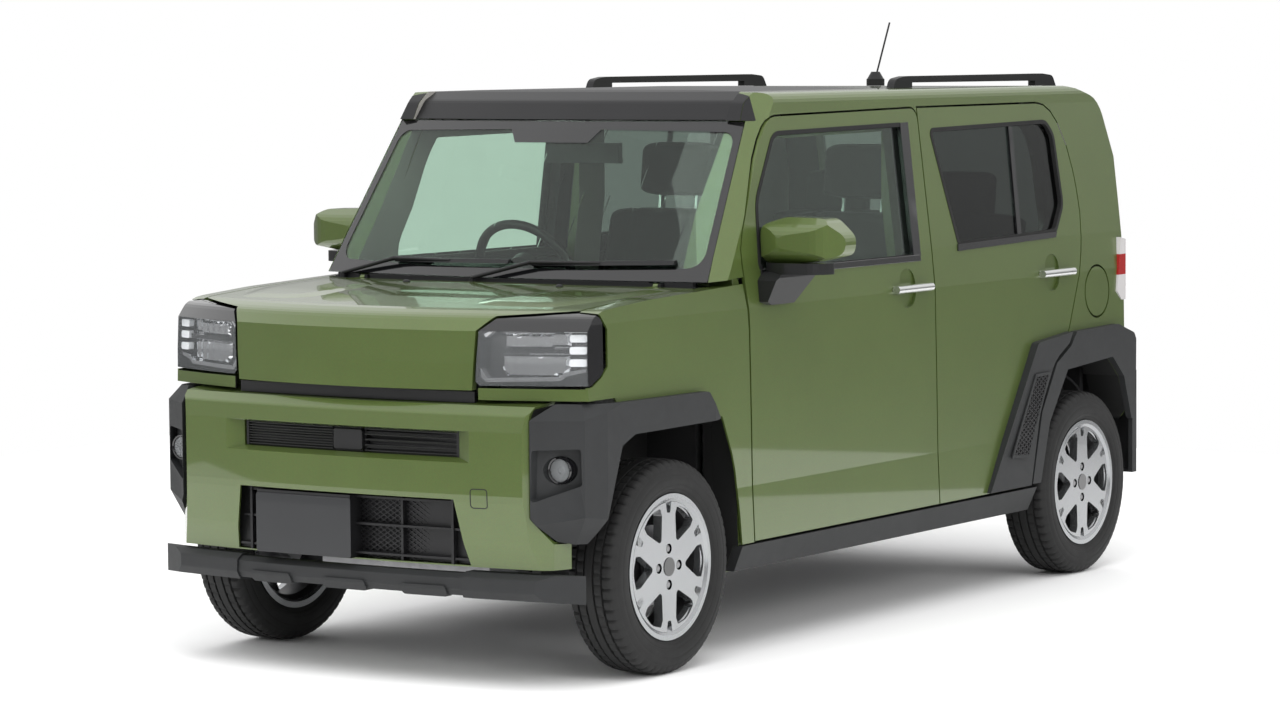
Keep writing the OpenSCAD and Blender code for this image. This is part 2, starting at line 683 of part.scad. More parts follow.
// Lower trim: the black bar under the bumper, with three raised blocks
TRIM = [[front_y + 60, trim_top], [front_y + 26, trim_top], [front_y + 2, 306, 10], [front_y + 1, 272, 10],
    [front_y + 14, 250], [front_y + 60, 242]];
trim_step = 388; // where the thicker ends begin
module trim_bar(d, x0, x1) {
    intersection() {
        turned(line_at(TRIM, d), bumper_r, front_y);
        along_z(200, 400) trim_plan();
        block([x0, front_y, 200], [x1, front_y + 200, 400]);
    }
}
module front_trim() {
    color(plastic) {
        trim_bar(-6, -trim_step, trim_step);
        both_sides() trim_bar(0, trim_step - 1, half_w);
        for (x = [-262, 0, 266]) intersection() {
            along_y(front_y, front_y + 50) polygon(rounded([[x - 73, 249, 10], [x + 73, 249, 10],
                [x + 73, 280, 10],
                [x - 73, 280, 10]]));
            turned(line_at(TRIM, 1), bumper_r, front_y);
        }
    }
}
module trim_plan() {
    polygon([[-half_w + 11, front_y + 165], [-half_w + 11, front_y + 121], [-half_w + 129, front_y + 42],
        [-half_w + 200, front_y - 2], [half_w - 200, front_y - 2], [half_w - 129, front_y + 42],
        [half_w - 11, front_y + 121], [half_w - 11, front_y + 165]]);
}

// Front claddings: the corner block with the fog lamp's pocket, running back over the wheel arch
CLAD_PLAN = [[half_w - 139, front_y + 44], [half_w - 17, front_y + 130], [half_w - 1, front_y + 215],
    [half_w, axle_f - 150], [half_w, axle_f + 215], [half_w - 9, axle_f + 258], [half_w - 22, axle_f + 258],
    [side_x(700) + running_gap + 0.6, axle_f + 250], [side_x(700) + running_gap + 0.6, front_y + 240],
    [half_w - 60, front_y + 190], [half_w - 100, front_y + 170], [half_w - 139, front_y + 150]];
CLAD_SIDE = [[front_y - 1, 380], [axle_f - 358, 380], [axle_f - 332, 432], [axle_f - 249, 655],
    [axle_f - 187, 681], [axle_f + 236, 685], [axle_f + 254, 688], [axle_f + 183, 769, 20],
    [axle_f - 266, 772], [front_y + 110, 776], [front_y - 1, 776]];
CLAD_FRONT = [[600, 474], [644, 408], [706, 392], [half_w + 1, 420], [half_w + 1, 790], [648, 790],
    [600, 738]];
plate_x = -136; // middle of the number plate's place, off the car's middle
plate_z = 492;
plate_pitch = 210;
plate_hole_r = 3;
fog_x = half_w - 84;
fog_z = 600;
fog_deep = 140; // floor of the fog lamp's tube behind the car's front
POCKET = [[600, 514, 8], [714, 560, 8], [712, 658, 8], [604, 656, 8]];
clad_top = 734; // where the corner's faces lean back towards its top
clad_foot = 452;
fog_r = 36;
CLAD_CORNER = [[half_w - 139, front_y + 44, clad_top], [half_w - 17, front_y + 130, clad_top],
    [half_w - 1, front_y + 215, clad_top + 18], [half_w, axle_f - 254, clad_top + 34]];
CLAD_FOOT = [[half_w - 139, front_y + 44, clad_foot], [half_w - 17, front_y + 130, clad_foot + 22],
    [half_w - 1, front_y + 240, clad_foot]];
module front_cladding() {
    difference() {
        intersection() {
            along_z(300, 800) polygon(CLAD_PLAN);
            along_x(500, half_w + 1) polygon(line_at(CLAD_SIDE));
            along_y(front_y, 0) polygon(CLAD_FRONT);
        }
        intersection() {
            along_y(front_y, axle_f) polygon(rounded(POCKET));
            along_z(400, 700) polygon([[590, front_y - 1], [745, front_y - 1], [745, front_y + 176],
                [590, front_y + 67]]);
        }
        translate([fog_x, front_y, fog_z]) rotate([-90, 0, 0]) cylinder(r = fog_r + 2, h = fog_deep);
        beyond(CLAD_CORNER[0], CLAD_CORNER[0] + [-22, 31, 42], CLAD_CORNER[1]);
        beyond(CLAD_CORNER[1], CLAD_CORNER[1] + [-36, 7, 42], CLAD_CORNER[2]);
        beyond(CLAD_CORNER[2], CLAD_CORNER[2] + [-22, 0, 24], CLAD_CORNER[3]);
        beyond(CLAD_FOOT[1], CLAD_FOOT[0] + [-17, 24, -60], CLAD_FOOT[0]);
        beyond(CLAD_FOOT[2], CLAD_FOOT[1] + [-34, 8, -60], CLAD_FOOT[1]);
    }
}
module front_claddings() {
    color(plastic) both_sides() front_cladding();
}

// Front lamps: the headlamp's housing under its clear cover, and the fog lamp with the disc above it
LAMP_FRONT = [[lamp_in + 3, 832], [lamp_in + 16, 820], [half_w + 1, 822], [half_w + 1, 1021],
    [lamp_in + 46, 1002], [lamp_in + 11, 968]];
LAMP_SIDE = [[front_y, 700], [axle_f - 372, 700], [axle_f - 366, 822], [axle_f - 311, 848],
    [axle_f - 285, 872],
    [axle_f - 283, 968], [axle_f - 311, 1003], [axle_f - 356, 1024], [front_y, 1030]];
lamp_deep = 200;
module lamp_form(d) {
    intersection() {
        nose_body(d);
        along_y(front_y, axle_f - 300) polygon(grown(LAMP_FRONT, -1.5 - d));
        along_x(0, half_w) polygon(LAMP_SIDE);
    }
}
module front_lamps() {
    color(lens) both_sides() {
        difference() {
            lamp_form(0);
            along_x(0, half_w) polygon([[front_y + lamp_deep + 60, 600], [0, 600], [0, 1100],
                [front_y + lamp_deep + 60, 1100]]);
        }
        translate([fog_x, front_y + fog_deep - 18, fog_z]) rotate([-90, 0, 0])
            cylinder(r = fog_r, h = 18 - running_gap);
    }
}

// Wipers: pivot on the cowl, elbow and both ends of the blade, the last three as [x, z] on the screen
WIPERS = [[[-600, -911, cowl_top], [-400, 1112], [-402, 1108], [20, 1112]],
    [[-86, -968, cowl_top], [105, 1112], [100, 1108], [560, 1118]]];
function on_screen(p, d) = [p[0],
    foot_y(p[0]) + (p[1] - cowl_z - 8) * tan(screen_lean) - d / cos(screen_lean), p[1]];
module wipers() {
    color(black) for (w = WIPERS) {
        top = w[0] + [0, 0, 14];
        mid = (w[2] + w[3]) / 2;
        translate(w[0] + [0, 0, running_gap]) cylinder(r = 8, h = 12);
        bar(w[0] + [0, 0, 9], top, 5);
        bar(top, on_screen(w[1], 22), 6);
        bar(on_screen(w[1], 22), on_screen(mid, 12), 5);
        screen_slab(concat(screen_arc(-14), reversed(screen_arc(-2)))) along_y(front_y, 0)
            polygon([w[2] - [0, 6], w[3] - [0, 6], w[3] + [0, 6], w[2] + [0, 6]]);
    }
}

// Roof rails with their feet, and the antenna on its base
rail_x = roof_x;
rail_w = 26;
rail_top = roof_z + 26;
rail_front = roof_cut + 110;
rail_rear = gate_y + 2;
module roof_form(d) {
    intersection() {
        along_y(0, rear_y) full_section(d);
        along_x(-half_w, half_w) polygon(line_at(concat([[0, 1300]], ROOF_TOP), -d));
    }
}
module roof_rails() {
    color(black) both_sides() difference() {
        along_x(rail_x - rail_w / 2, rail_x + rail_w / 2) difference() {
            polygon(rounded([[rail_front, roof_z - 40], [rail_rear, roof_z - 40],
                [rail_rear - 40, rail_top - 6, 30],
                [rail_rear - 110, rail_top, 100], [rail_front + 90, rail_top, 100],
                [rail_front + 30, rail_top - 8, 30]]));
            polygon([[rail_front + 130, roof_z - 41], [rail_rear - 160, roof_z - 41],
                [rail_rear - 160, roof_z + 3], [rail_front + 130, roof_z + 6]]);
        }
        roof_form(-running_gap);
    }
}
antenna_y = axle_r - 108;
module antenna() {
    color(black) difference() {
        union() {
            translate([0, antenna_y, roof_z - 20]) cylinder(r = 30, h = 30);
            translate([0, antenna_y, roof_z + 10]) cylinder(r1 = 28, r2 = 14, h = 24);
            bar([0, antenna_y + 6, roof_z + 24], [0, antenna_y + 94, roof_z + 196], 3);
        }
        roof_form(-running_gap);
    }
}

// Tailgate: the rear wall between the body sides, from the roof's end down to the bumper
gate_half = half_w - 147;
gate_low = 648;
GATE = concat([[0, 300], [tail_y, 300]], [for (i = [1:5]) TAIL[i]]);
gate_t = 58;
gate_pin_x = 410;
gate_pin_y = gate_y - 30;
gate_pin_z = roof_z - 26;
rear_plate_z = 830;
GATE_WINDOW = [[-470, 1060, 40], [470, 1060, 40], [440, 1455, 50], [-440, 1455, 50]];
module gate_form(d) {
    along_y(gate_y + d / 2, rear_y) polygon([[d - gate_half, gate_low + d / 2],
        [gate_half - d, gate_low + d / 2],
        [gate_half - d, 1200], [gate_half - 30 - d, roof_z + 20], [30 - gate_half + d, roof_z + 20],
        [d - gate_half, 1200]]);
}
module gate_band(d0, d1) {
    intersection() {
        along_x(-half_w, half_w) difference() {
            polygon(line_at(GATE, -d0));
            polygon(line_at(GATE, -d1));
        }
        gate_form(panel_gap);
        tail_bow(d0);
    }
}
module tail_bow(d) {
    along_z(0, 2000) polygon([[-half_w, 0], [half_w, 0], [half_w, tail_y - 38 - d], [410, tail_y - 11 - d],
        [180, tail_y + 1 - d], [-180, tail_y + 1 - d], [-410, tail_y - 11 - d],
        [-half_w, tail_y - 38 - d]]);
}
module tailgate() {
    color(paint) {
        difference() {
            gate_band(0, gate_t);
            along_y(0, rear_y) polygon(line_at(GATE_WINDOW));
            both_sides() translate([plate_pitch / 2, tail_y - 24, rear_plate_z]) rotate([-90, 0, 0])
                cylinder(r = plate_hole_r, h = 30);
        }
        both_sides() difference() {
            union() {
                block([gate_pin_x - 8, gate_pin_y - 7, gate_pin_z - 46],
                    [gate_pin_x + 8, gate_pin_y + 7, gate_pin_z]);
                block([gate_pin_x - 8, gate_pin_y - 7, gate_pin_z - 46],
                    [gate_pin_x + 8, gate_y + 40, gate_pin_z - 32]);
                translate([gate_pin_x - 8, gate_pin_y, gate_pin_z]) rotate([0, 90, 0])
                    cylinder(r = 7, h = 16);
            }
            translate([gate_pin_x - 9, gate_pin_y, gate_pin_z]) rotate([0, 90, 0])
                cylinder(r = 4 + running_gap, h = 18);
        }
    }
}
module tailgate_glass() {
    color(pane) intersection() {
        gate_band(8, 8 + glass_t);
        along_y(0, rear_y) polygon(line_at(GATE_WINDOW, -running_gap));
    }
}
module gate_hinge_pin() {
    translate([gate_pin_x - 18, gate_pin_y, gate_pin_z]) rotate([0, 90, 0]) cylinder(r = 4, h = 36);
}

// Tail lamps: upright lenses let into the rear corners
lamp_low = 878;
lamp_high = 1086;
module tail_lamp_form(d) {
    intersection() {
        along_x(gate_half + 12 + d, half_w) polygon([[tail_y - 100 + d, lamp_low + 30 + d],
            [tail_y - 62, lamp_low + d],
            [rear_y, lamp_low + d], [rear_y, lamp_high - 26 - d], [tail_y - 20, lamp_high - 10 - d],
            [tail_y - 72 + d, lamp_high - d]]);
        along_z(800, 1200) polygon(grown([[gate_half, tail_y - 120], [half_w - 20, tail_y - 120],
            [half_w - 26, tail_y - 30], [half_w - 66, tail_y - 12], [gate_half, tail_y - 6]], -d));
    }
}
module tail_lamps() {
    color("red") both_sides() tail_lamp_form(0);
}

// Rear claddings over the wheel arches, each with its mesh vent, and the sill covers
REAR_CLAD = [[axle_r - 384, door_base + 8], [axle_r - 330, door_base + 8], [axle_r - 328, 326],
    [axle_r - 266, 517],
    [axle_r - 143, 676], [axle_r + 172, 696], [axle_r + 253, 627], [axle_r + 306, 485], [axle_r + 318, 478],
    [axle_r + 342, 611], [axle_r + 344, 745], [axle_r + 330, 768, 20], [axle_r + 216, 803, 20],
    [axle_r - 80, 797], [axle_r - 122, 752], [axle_r - 218, 704], [axle_r - 320, 554]];
module outer_cladding(thick) {
    intersection() {
        side_layer(-thick, -running_gap, front_y, rear_y);
        along_x(0, half_w) children();
    }
}
module rear_claddings() {
    color(plastic) both_sides() outer_cladding(cladding_t + 4) polygon(line_at(REAR_CLAD, -1));
}
module sill_claddings() {
    color(plastic) both_sides() intersection() {
        side_panel(-4, sill_set - running_gap) polygon([[axle_f + 368, sill_low], [axle_r - 342, sill_low],
            [axle_r - 334, sill_top - 2], [axle_f + 368, sill_top - 2]]);
        block([0, front_y, 0], [half_w, rear_y, 400]);
    }
}

// Rear bumper
function rear_bumper(back) = [[axle_r + 322 - back, 300], [rear_y - 40, 300], [rear_y - 6, 400, 60],
    [rear_y, 520, 100],
    [rear_y - 2, 600, 30], [rear_y - 40, 640], [axle_r + 352 - back, 640], [axle_r + 352 - back, 612],
    [axle_r + 322 - back, 470]];
module rear_plan(d) {
    polygon([[d - half_w + 4, axle_r + 320], [-half_w + 250, axle_r + 320], [half_w - 250, axle_r + 320],
        [half_w - 4 - d, axle_r + 320], [half_w - 4 - d, axle_r + 352], [half_w - 60 - d, rear_y - 16],
        [half_w - 160, rear_y], [160 - half_w, rear_y], [60 + d - half_w, rear_y - 16],
        [d - half_w + 4, axle_r + 352]]);
}
module bumper_rear() {
    color(plastic) difference() {
        intersection() {
            along_x(-half_w, half_w) polygon(line_at(rear_bumper(0)));
            along_z(200, 900) rear_plan(0);
        }
        intersection() {
            along_x(-half_w, half_w) polygon(line_at(rear_bumper(200), -skin));
            along_z(200, 900) polygon([[19 - half_w, axle_r], [half_w - 19, axle_r],
                [half_w - 19, axle_r + 352],
                [half_w - 80, rear_y - 26], [80 - half_w, rear_y - 26], [19 - half_w, axle_r + 352]]);
        }
    }
}

// Fuel filler: a round recess in the left quarter panel with its lid on a pin under the front edge
fuel_y = axle_r + 113;
fuel_z = 916;
fuel_r = 81;
fuel_deep = 50;
fuel_pin_y = fuel_y - fuel_r + 33;
fuel_pin_x = side_x(fuel_z) - 7;
module fuel_recess() {
    translate([side_x(fuel_z) - fuel_deep, fuel_y, fuel_z]) rotate([0, 90, 0])
        cylinder(r = fuel_r + 7, h = 80);
}
module fuel_door() {
    color(paint) {
        intersection() {
            side_layer(0, 4, front_y, rear_y);
            translate([0, fuel_y, fuel_z]) rotate([0, 90, 0]) cylinder(r = fuel_r, h = half_w);
        }
        difference() {
            union() {
                block([fuel_pin_x - 4, fuel_pin_y, fuel_z - 14],
                    [fuel_pin_x + 5, fuel_pin_y + 40, fuel_z + 14]);
                translate([fuel_pin_x, fuel_pin_y, fuel_z - 14]) cylinder(r = 5, h = 28);
            }
            translate([fuel_pin_x, fuel_pin_y, fuel_z - 15]) cylinder(r = 2.5 + running_gap, h = 30);
        }
    }
}
module fuel_filler() {
    translate([fuel_pin_x, fuel_pin_y, fuel_z - 26]) cylinder(r = 2.5, h = 52);
    for (z = [fuel_z - 26, fuel_z + 18])
        block([side_x(fuel_z) - fuel_deep - 2, fuel_pin_y - 1.8, z],
            [fuel_pin_x + 1, fuel_pin_y + 5, z + 8]);
    translate([side_x(fuel_z) - fuel_deep - 2, fuel_y + 10, fuel_z]) rotate([0, 90, 0])
        cylinder(r = 30, h = 26);
}

// Door mirrors: a foot on the door's skin, an arm and the housing
mirror_y = seam_a + 148;
mirror_z = 1160;
module mirror_shape() {
    color(paint) intersection() {
        along_y(mirror_y - 90, mirror_y + 40) polygon(rounded([[half_w - 37, mirror_z - 52, 12],
            [half_w + 108, mirror_z - 48, 80], [half_w + 212, mirror_z - 26, 25],
            [half_w + 220, mirror_z + 24, 40],
            [half_w + 160, mirror_z + 77, 50], [half_w + 24, mirror_z + 80, 60],
            [half_w - 44, mirror_z + 56, 40]]));
        along_z(mirror_z - 60, mirror_z + 90) polygon(rounded([[half_w - 66, mirror_y + 34],
            [half_w - 66, mirror_y - 56, 20],
            [half_w + 20, mirror_y - 84, 60], [half_w + 160, mirror_y - 76, 90],
            [half_w + 226, mirror_y - 16, 40],
            [half_w + 222, mirror_y + 34]]));
        along_x(half_w - 100, half_w + 300) polygon(rounded([[mirror_y + 36, mirror_z - 54],
            [mirror_y + 36, mirror_z + 84],
            [mirror_y - 20, mirror_z + 84, 40], [mirror_y - 84, mirror_z + 46, 50],
            [mirror_y - 84, mirror_z - 20, 40],
            [mirror_y - 30, mirror_z - 54, 30]]));
    }
    color(black) {
        along_z(mirror_z - 82, mirror_z - 50) polygon(rounded([[half_w - 37, mirror_y + 28],
            [half_w - 37, mirror_y - 52, 20],
            [half_w + 40, mirror_y - 72, 60], [half_w + 150, mirror_y - 56, 60],
            [half_w + 166, mirror_y + 20, 20]]));
        intersection() {
            side_layer(-90, -running_gap, mirror_y - 100, mirror_y + 140);
            along_y(mirror_y - 100, mirror_y + 140) polygon([[half_w - 90, 990], [side_x(1000) + 24, 990],
                [half_w + 30, mirror_z - 92], [half_w + 30, mirror_z - 76], [half_w - 90, mirror_z - 76]]);
            along_x(0, half_w + 300) polygon([[mirror_y - 90, 1000], [mirror_y - 60, 990],
                [mirror_y + 60, 990],
                [mirror_y + 120, 1066], [mirror_y + 40, mirror_z - 76], [mirror_y - 60, mirror_z - 76],
                [mirror_y - 90, 1060]]);
        }
    }
}
module mirror_left() {
    mirror_shape();
}
module mirror_right() {
    on_side(-1) mirror_shape();
}

// Floor: plates, heel board, the front structure and the wheel houses
floor_half = half_w - 46 - flange_in - running_gap;
floor_z = sill_low + floor_t;
heel_y = axle_r - 660;
rear_floor_z = 440;
apron_x = track_front / 2 - 248;
house_x = track_rear / 2 - 118;
arch_r = tyre_radius + 52;
tower_z = 868;
module wheel_house(y, x0, x1) {
    difference() {
        translate([x0, y, hub_z]) rotate([0, 90, 0]) cylinder(r = arch_r + 8, h = x1 - x0);
        translate([x0 + 8, y, hub_z]) rotate([0, 90, 0]) cylinder(r = arch_r, h = x1 - x0);
        block([x0 - 1, y - 500, -200], [x1 + 1, y + 500, rear_floor_z - 35]);
    }
}
module floor_pan() {
    color(paint) {
        difference() {
            union() {
                block([-floor_half, pillar_front, sill_low], [floor_half, heel_y, floor_z]);
                block([-floor_half, pillar_front, sill_low], [floor_half, pillar_front + 24, cowl_z - 70]);
                block([-floor_half, heel_y - 30, sill_low], [floor_half, heel_y, rear_floor_z]);
                block([-floor_half, heel_y - 30, rear_floor_z - 30],
                    [floor_half, tail_y - 70, rear_floor_z]);
                block([-floor_half, tail_y - 90, rear_floor_z - 30],
                    [floor_half, tail_y - 66, gate_low + 60]);
            }
            both_sides() translate([house_x, axle_r, hub_z]) rotate([0, 90, 0])
                cylinder(r = arch_r + 4, h = 300);
        }
        both_sides() {
            wheel_house(axle_r, house_x, floor_half + 20);
            block([apron_x - 8, front_y + 190, 460], [apron_x, pillar_front + 2, tower_z]);
            block([apron_x - 60, front_y + 110, 460], [apron_x, pillar_front + 2, 540]);
            difference() {
                block([apron_x - 4, axle_f - 90, tower_z - 10], [floor_half, axle_f + 110, tower_z]);
                translate([strut_top[0], axle_f, tower_z - 20]) cylinder(r = strut_r + 6, h = 40);
            }
        }
        block([-apron_x, front_y + 110, 345], [apron_x, front_y + 126, 766]);
    }
}

// Front axle: subframe with the lower arms, and the knuckles that steer about an axis through the strut
kingpin_lean = 12;
ball_z = 200;
ball_x = track_front / 2 - 38;
function kingpin(z) = [ball_x - (z - ball_z) * tan(kingpin_lean), axle_f, z];
strut_top = kingpin(tower_z);
strut_r = 22;
spindle_r = 14;
module front_subframe() {
    color(black) {
        block([-330, axle_f - 60, 205], [330, axle_f + 70, 262]);
        both_sides() {
            difference() {
                along_z(205, 229) polygon([[318, axle_f - 55], [ball_x - 12, axle_f - 27],
                    [ball_x + 12, axle_f - 22],
                    [ball_x + 22, axle_f - 9], [ball_x + 22, axle_f + 9], [ball_x + 12, axle_f + 22],
                    [ball_x - 12, axle_f + 27], [318, axle_f + 150]]);
                translate([ball_x - 3, axle_f, 190]) cylinder(r = 19, h = 60);
            }
            block([250, axle_f + 60, 205], [320, axle_f + 180, 262]);
            block([300, axle_f + 60, 262], [330, axle_f + 110, 462]);
            block([300, axle_f - 60, 262], [330, axle_f - 20, 462]);
            block([300, axle_f - 60, 440], [apron_x - 61, axle_f + 110, 462]);
        }
    }
}
module knuckle() {
    color(metal) {
        translate([track_front / 2 - 62, axle_f, hub_z]) rotate([0, 90, 0]) cylinder(r = 58, h = 36);
        translate([track_front / 2 - 62, axle_f, hub_z]) rotate([0, 90, 0])
            cylinder(r = spindle_r, h = 108);
        translate([track_front / 2 - 8, axle_f, hub_z]) rotate([0, 90, 0]) cylinder(r = 112, h = 12);
        bar(kingpin(ball_z + 6), kingpin(hub_z), 11);
        bar(kingpin(hub_z), kingpin(tower_z + 12), strut_r);
        bar(kingpin(hub_z), kingpin(430), 34);
        bar(kingpin(640), kingpin(tower_z - 24), 52);
        block([track_front / 2 - 66, axle_f + 8, hub_z - 16],
            [track_front / 2 - 40, axle_f + 112, hub_z + 14]);
    }
}
module knuckle_left() {
    knuckle();
}
module knuckle_right() {
    on_side(-1) knuckle();
}

// Rear axle: a twist beam with trailing arms, springs and the wheel spindles
module rear_axle() {
    color(black) {
        block([-520, axle_r - 190, 262], [520, axle_r - 110, 318]);
        both_sides() {
            block([470, axle_r - 420, 270], [520, axle_r + 40, 322]);
            block([500, axle_r - 46, hub_z - 46], [track_rear / 2 - 60, axle_r + 46, hub_z + 46]);
            translate([track_rear / 2 - 62, axle_r, hub_z]) rotate([0, 90, 0])
                cylinder(r = spindle_r, h = 108);
            translate([track_rear / 2 - 62, axle_r, hub_z]) rotate([0, 90, 0]) cylinder(r = 100, h = 34);
            translate([430, axle_r - 150, 316]) cylinder(r = 50, h = rear_floor_z - 30 - 316 - running_gap);
            translate([495, axle_r - 420, 296]) rotate([0, 90, 0]) cylinder(r = 30, h = 60, center = true);
            bar([500, axle_r + 20, 300], [500, axle_r + 80, rear_floor_z - 42], 20);
        }
    }
}

// Driveline masses: engine block, exhaust and fuel tank
module engine() {
    color(metal) block([-294, axle_f - 250, 262.3], [290, axle_f + 190, 800]);
}
EXHAUST = [[-262, axle_f + 214, 262], [-430, axle_f + 330, 207], [-430, axle_r - 240, 207],
    [-300, axle_r + 180, 262]];
module exhaust() {
    color(metal) {
        for (i = [0:2]) bar(EXHAUST[i], EXHAUST[i + 1], 21);
        for (i = [1:2]) translate(EXHAUST[i] - [0, 0, 26]) cylinder(r = 28, h = 52);
        translate([-330, axle_r + 220, 300]) rotate([0, 90, 0]) cylinder(r = 78, h = 520);
        bar([-290, axle_r + 250, 270], [-392, rear_y - 22, 240], 19);
        for (y = [-300, 500]) block([-436, y, 220], [-424, y + 30, sill_low - 0.3]);
        block([0, axle_r + 190, 370], [40, axle_r + 240, rear_floor_z - 30.3]);
    }
}
module fuel_tank() {
    color(black) block([-380, heel_y + 4, 216], [380, axle_r - 230, rear_floor_z - 30 - running_gap]);
}

// Dashboard with the steering column, and the steering wheel
wheel_c = [-driver_x, -325, 1040];
column_lean = 27;
DASH = [[pillar_front + 26, 700], [-560, 690], [-492, 760], [-478, 900, 60], [-530, 1010, 60],
    [-660, 1056, 80],
    [pillar_front + 26, 1052]];
module dashboard() {
    color(black) {
        along_x(-half_w + 160, half_w - 160) polygon(rounded(DASH));
        along_x(-driver_x - 170, -driver_x + 170) polygon(rounded([[-600, 1000], [-490, 960],
            [-470, 1040, 20],
            [-560, 1084, 30], [-640, 1050]]));
        along_x(-90, 90) polygon([[-560, 700], [-400, 700], [-330, 540], [-330, floor_z + running_gap],
            [-700, floor_z + running_gap], [-700, 700]]);
        bar(wheel_c - 190 * [0, cos(column_lean), sin(column_lean)],
            wheel_c - 32 * [0, cos(column_lean), sin(column_lean)], 36);
        bar(wheel_c - 40 * [0, cos(column_lean), sin(column_lean)], wheel_c, 11);
    }
}
module steering_wheel() {
    color(black) translate(wheel_c) rotate([column_lean - 90, 0, 0]) {
        rotate_extrude() translate([steering_r - 14, 0]) circle(14);
        difference() {
            translate([0, 0, -18]) cylinder(r = 62, h = 30);
            translate([0, 0, -30]) cylinder(r = 11 + running_gap, h = 60);
        }
        for (a = [0, 90, 180]) rotate([0, 0, a]) block([40, -16, -8], [steering_r - 10, 16, 4]);
    }
}

// Seats: cushion, backrest and head restraint of each front seat, and the rear bench
module seat_side(x0, x1, pts) {
    along_x(x0, x1) polygon(rounded(pts));
}
module front_seats() {
    color(cloth) for (s = [-1, 1]) {
        x0 = s * driver_x - seat_w / 2;
        x1 = s * driver_x + seat_w / 2;
        seat_side(x0, x1, [[-140, seat_z - 130, 30], [330, seat_z - 190, 30], [360, seat_z - 60, 30],
            [-130, seat_z, 60]]);
        seat_side(x0, x1, [[320, seat_z - 40, 30], [440, seat_z - 60, 30], [560, 1190, 40],
            [470, 1215, 40]]);
        seat_side(x0 + 105, x1 - 105, [[478, 1250, 30], [570, 1240, 30], [590, 1400, 40], [500, 1430, 40]]);
        seat_side(x0 + 20, x1 - 20, [[-120, floor_z + running_gap], [330, floor_z + running_gap],
            [330, seat_z - 180], [-120, seat_z - 120]]);
        for (x = [x0 + 170, x1 - 170]) bar([x, 512, 1190], [x, 522, 1262], 6);
    }
}
module rear_seat() {
    color(cloth) {
        seat_side(-480, 480, [[760, rear_floor_z + running_gap], [1170, rear_floor_z + running_gap],
            [1200, seat_z - 60, 30], [740, seat_z - 20, 60]]);
        seat_side(-480, 480, [[1150, seat_z - 110, 30], [1280, seat_z - 130, 30], [1370, 1160, 30],
            [1290, 1180, 30]]);
        for (s = [-1, 1]) seat_side(s * 240 - 120, s * 240 + 120, [[1302, 1130, 20], [1362, 1120, 20],
            [1384, 1300, 30], [1320, 1310, 30]]);
    }
}

// Room mirror and the camera housing behind the windscreen's head
module room_mirror() {
    color(black) {
        along_x(-22, 22) polygon([[screen_head + 26, screen_top - 32], [screen_head + 128, screen_top - 32],
            [screen_head + 128, roof_z - 45.6], [screen_head + 78, roof_z - 48.8],
            [screen_head + 26, screen_top + 3.7]]);
        bar([0, screen_head + 110, screen_top - 10], [0, screen_head + 130, screen_top - 90], 9);
        block([-130, screen_head + 118, screen_top - 130], [130, screen_head + 140, screen_top - 70]);
    }
}

// Wheels: tyre section [radius, half width], the rim and its spokes
TYRE = [[194, 62], [204, 62], [218, tyre_width / 2 - 8, 20], [244, tyre_width / 2, 60],
    [276, tyre_width / 2 - 5, 40],
    [tyre_radius - 4, 66, 12], [tyre_radius, 40, 30]];
module tyre_at(x, y) {
    color(black) translate([x, y, hub_z]) rotate([0, 90, 0]) rotate_extrude($fn = 96)
        polygon(rounded(concat(TYRE, [for (p = reversed(TYRE)) [p[0], -p[1], len(p) > 2 ? p[2] : 0]])));
}
RIM = [[170, 58], [182, 66], [190, 72], [rim_radius, 72], [rim_radius, 63], [193.7, 62], [193.7, 50],
    [178, 40],
    [174, -52], [193.7, -56], [193.7, -62], [rim_radius, -63], [rim_radius, -72], [186, -72], [166, -44]];
cap_r = 26;
spoke_half = 33;
spoke_end_half = 42;
function beside_spoke(t, w, s) = let (h = 180 / spoke_count)
    [t * cos(h) + w * sin(h), s * (t * sin(h) - w * cos(h))];
module spoke_window() {
    polygon(rounded([concat(beside_spoke(66, spoke_half, 0),
        [10]), concat(beside_spoke(144, spoke_half, 1), [12]),
        concat(beside_spoke(164, spoke_end_half, 1), [6]), [178, 0, 120],
        concat(beside_spoke(164, spoke_end_half, -1), [6]), concat(beside_spoke(144, spoke_half, -1),
        [12])]));
}
module spoke_notch() {
    polygon(rounded([[150, -8, 5], [185, -15], [185, 15], [150, 8, 5]]));
}
module rim_at(x, y) {
    color(metal) translate([x, y, hub_z]) rotate([0, 90, 0]) {
        rotate_extrude($fn = 96) polygon(RIM);
        difference() {
            union() {
                translate([0, 0, 38]) linear_extrude(28) difference() {
                    circle(180, $fn = 96);
                    for (i = [0:spoke_count - 1]) rotate(360 * (i + 0.5) / spoke_count) spoke_window();
                }
                translate([0, 0, 16]) cylinder(r = 66, h = 34);
            }
            translate([0, 0, 10]) cylinder(r = spindle_r + running_gap, h = 40);
            for (i = [0:spoke_count - 1]) rotate(360 * i / spoke_count) translate([0, 0, 46])
                linear_extrude(20) spoke_notch();
            for (i = [0:nut_count - 1]) rotate(360 * i / nut_count) translate([nut_pcd / 2, 0, 44])
                cylinder(r = 14, h = 30);
        }
        for (i = [0:nut_count - 1]) rotate(360 * i / nut_count) translate([nut_pcd / 2, 0, 40])
            cylinder(r = 9.5, h = 22);
        translate([0, 0, 56]) cylinder(r = cap_r, h = 12);
    }
}
module tyre_front_left() {
    tyre_at(track_front / 2, axle_f);
}
module tyre_front_right() {
    on_side(-1) tyre_at(track_front / 2, axle_f);
}
module tyre_rear_left() {
    tyre_at(track_rear / 2, axle_r);
}
module tyre_rear_right() {
    on_side(-1) tyre_at(track_rear / 2, axle_r);
}
module rim_front_left() {
    rim_at(track_front / 2, axle_f);
}
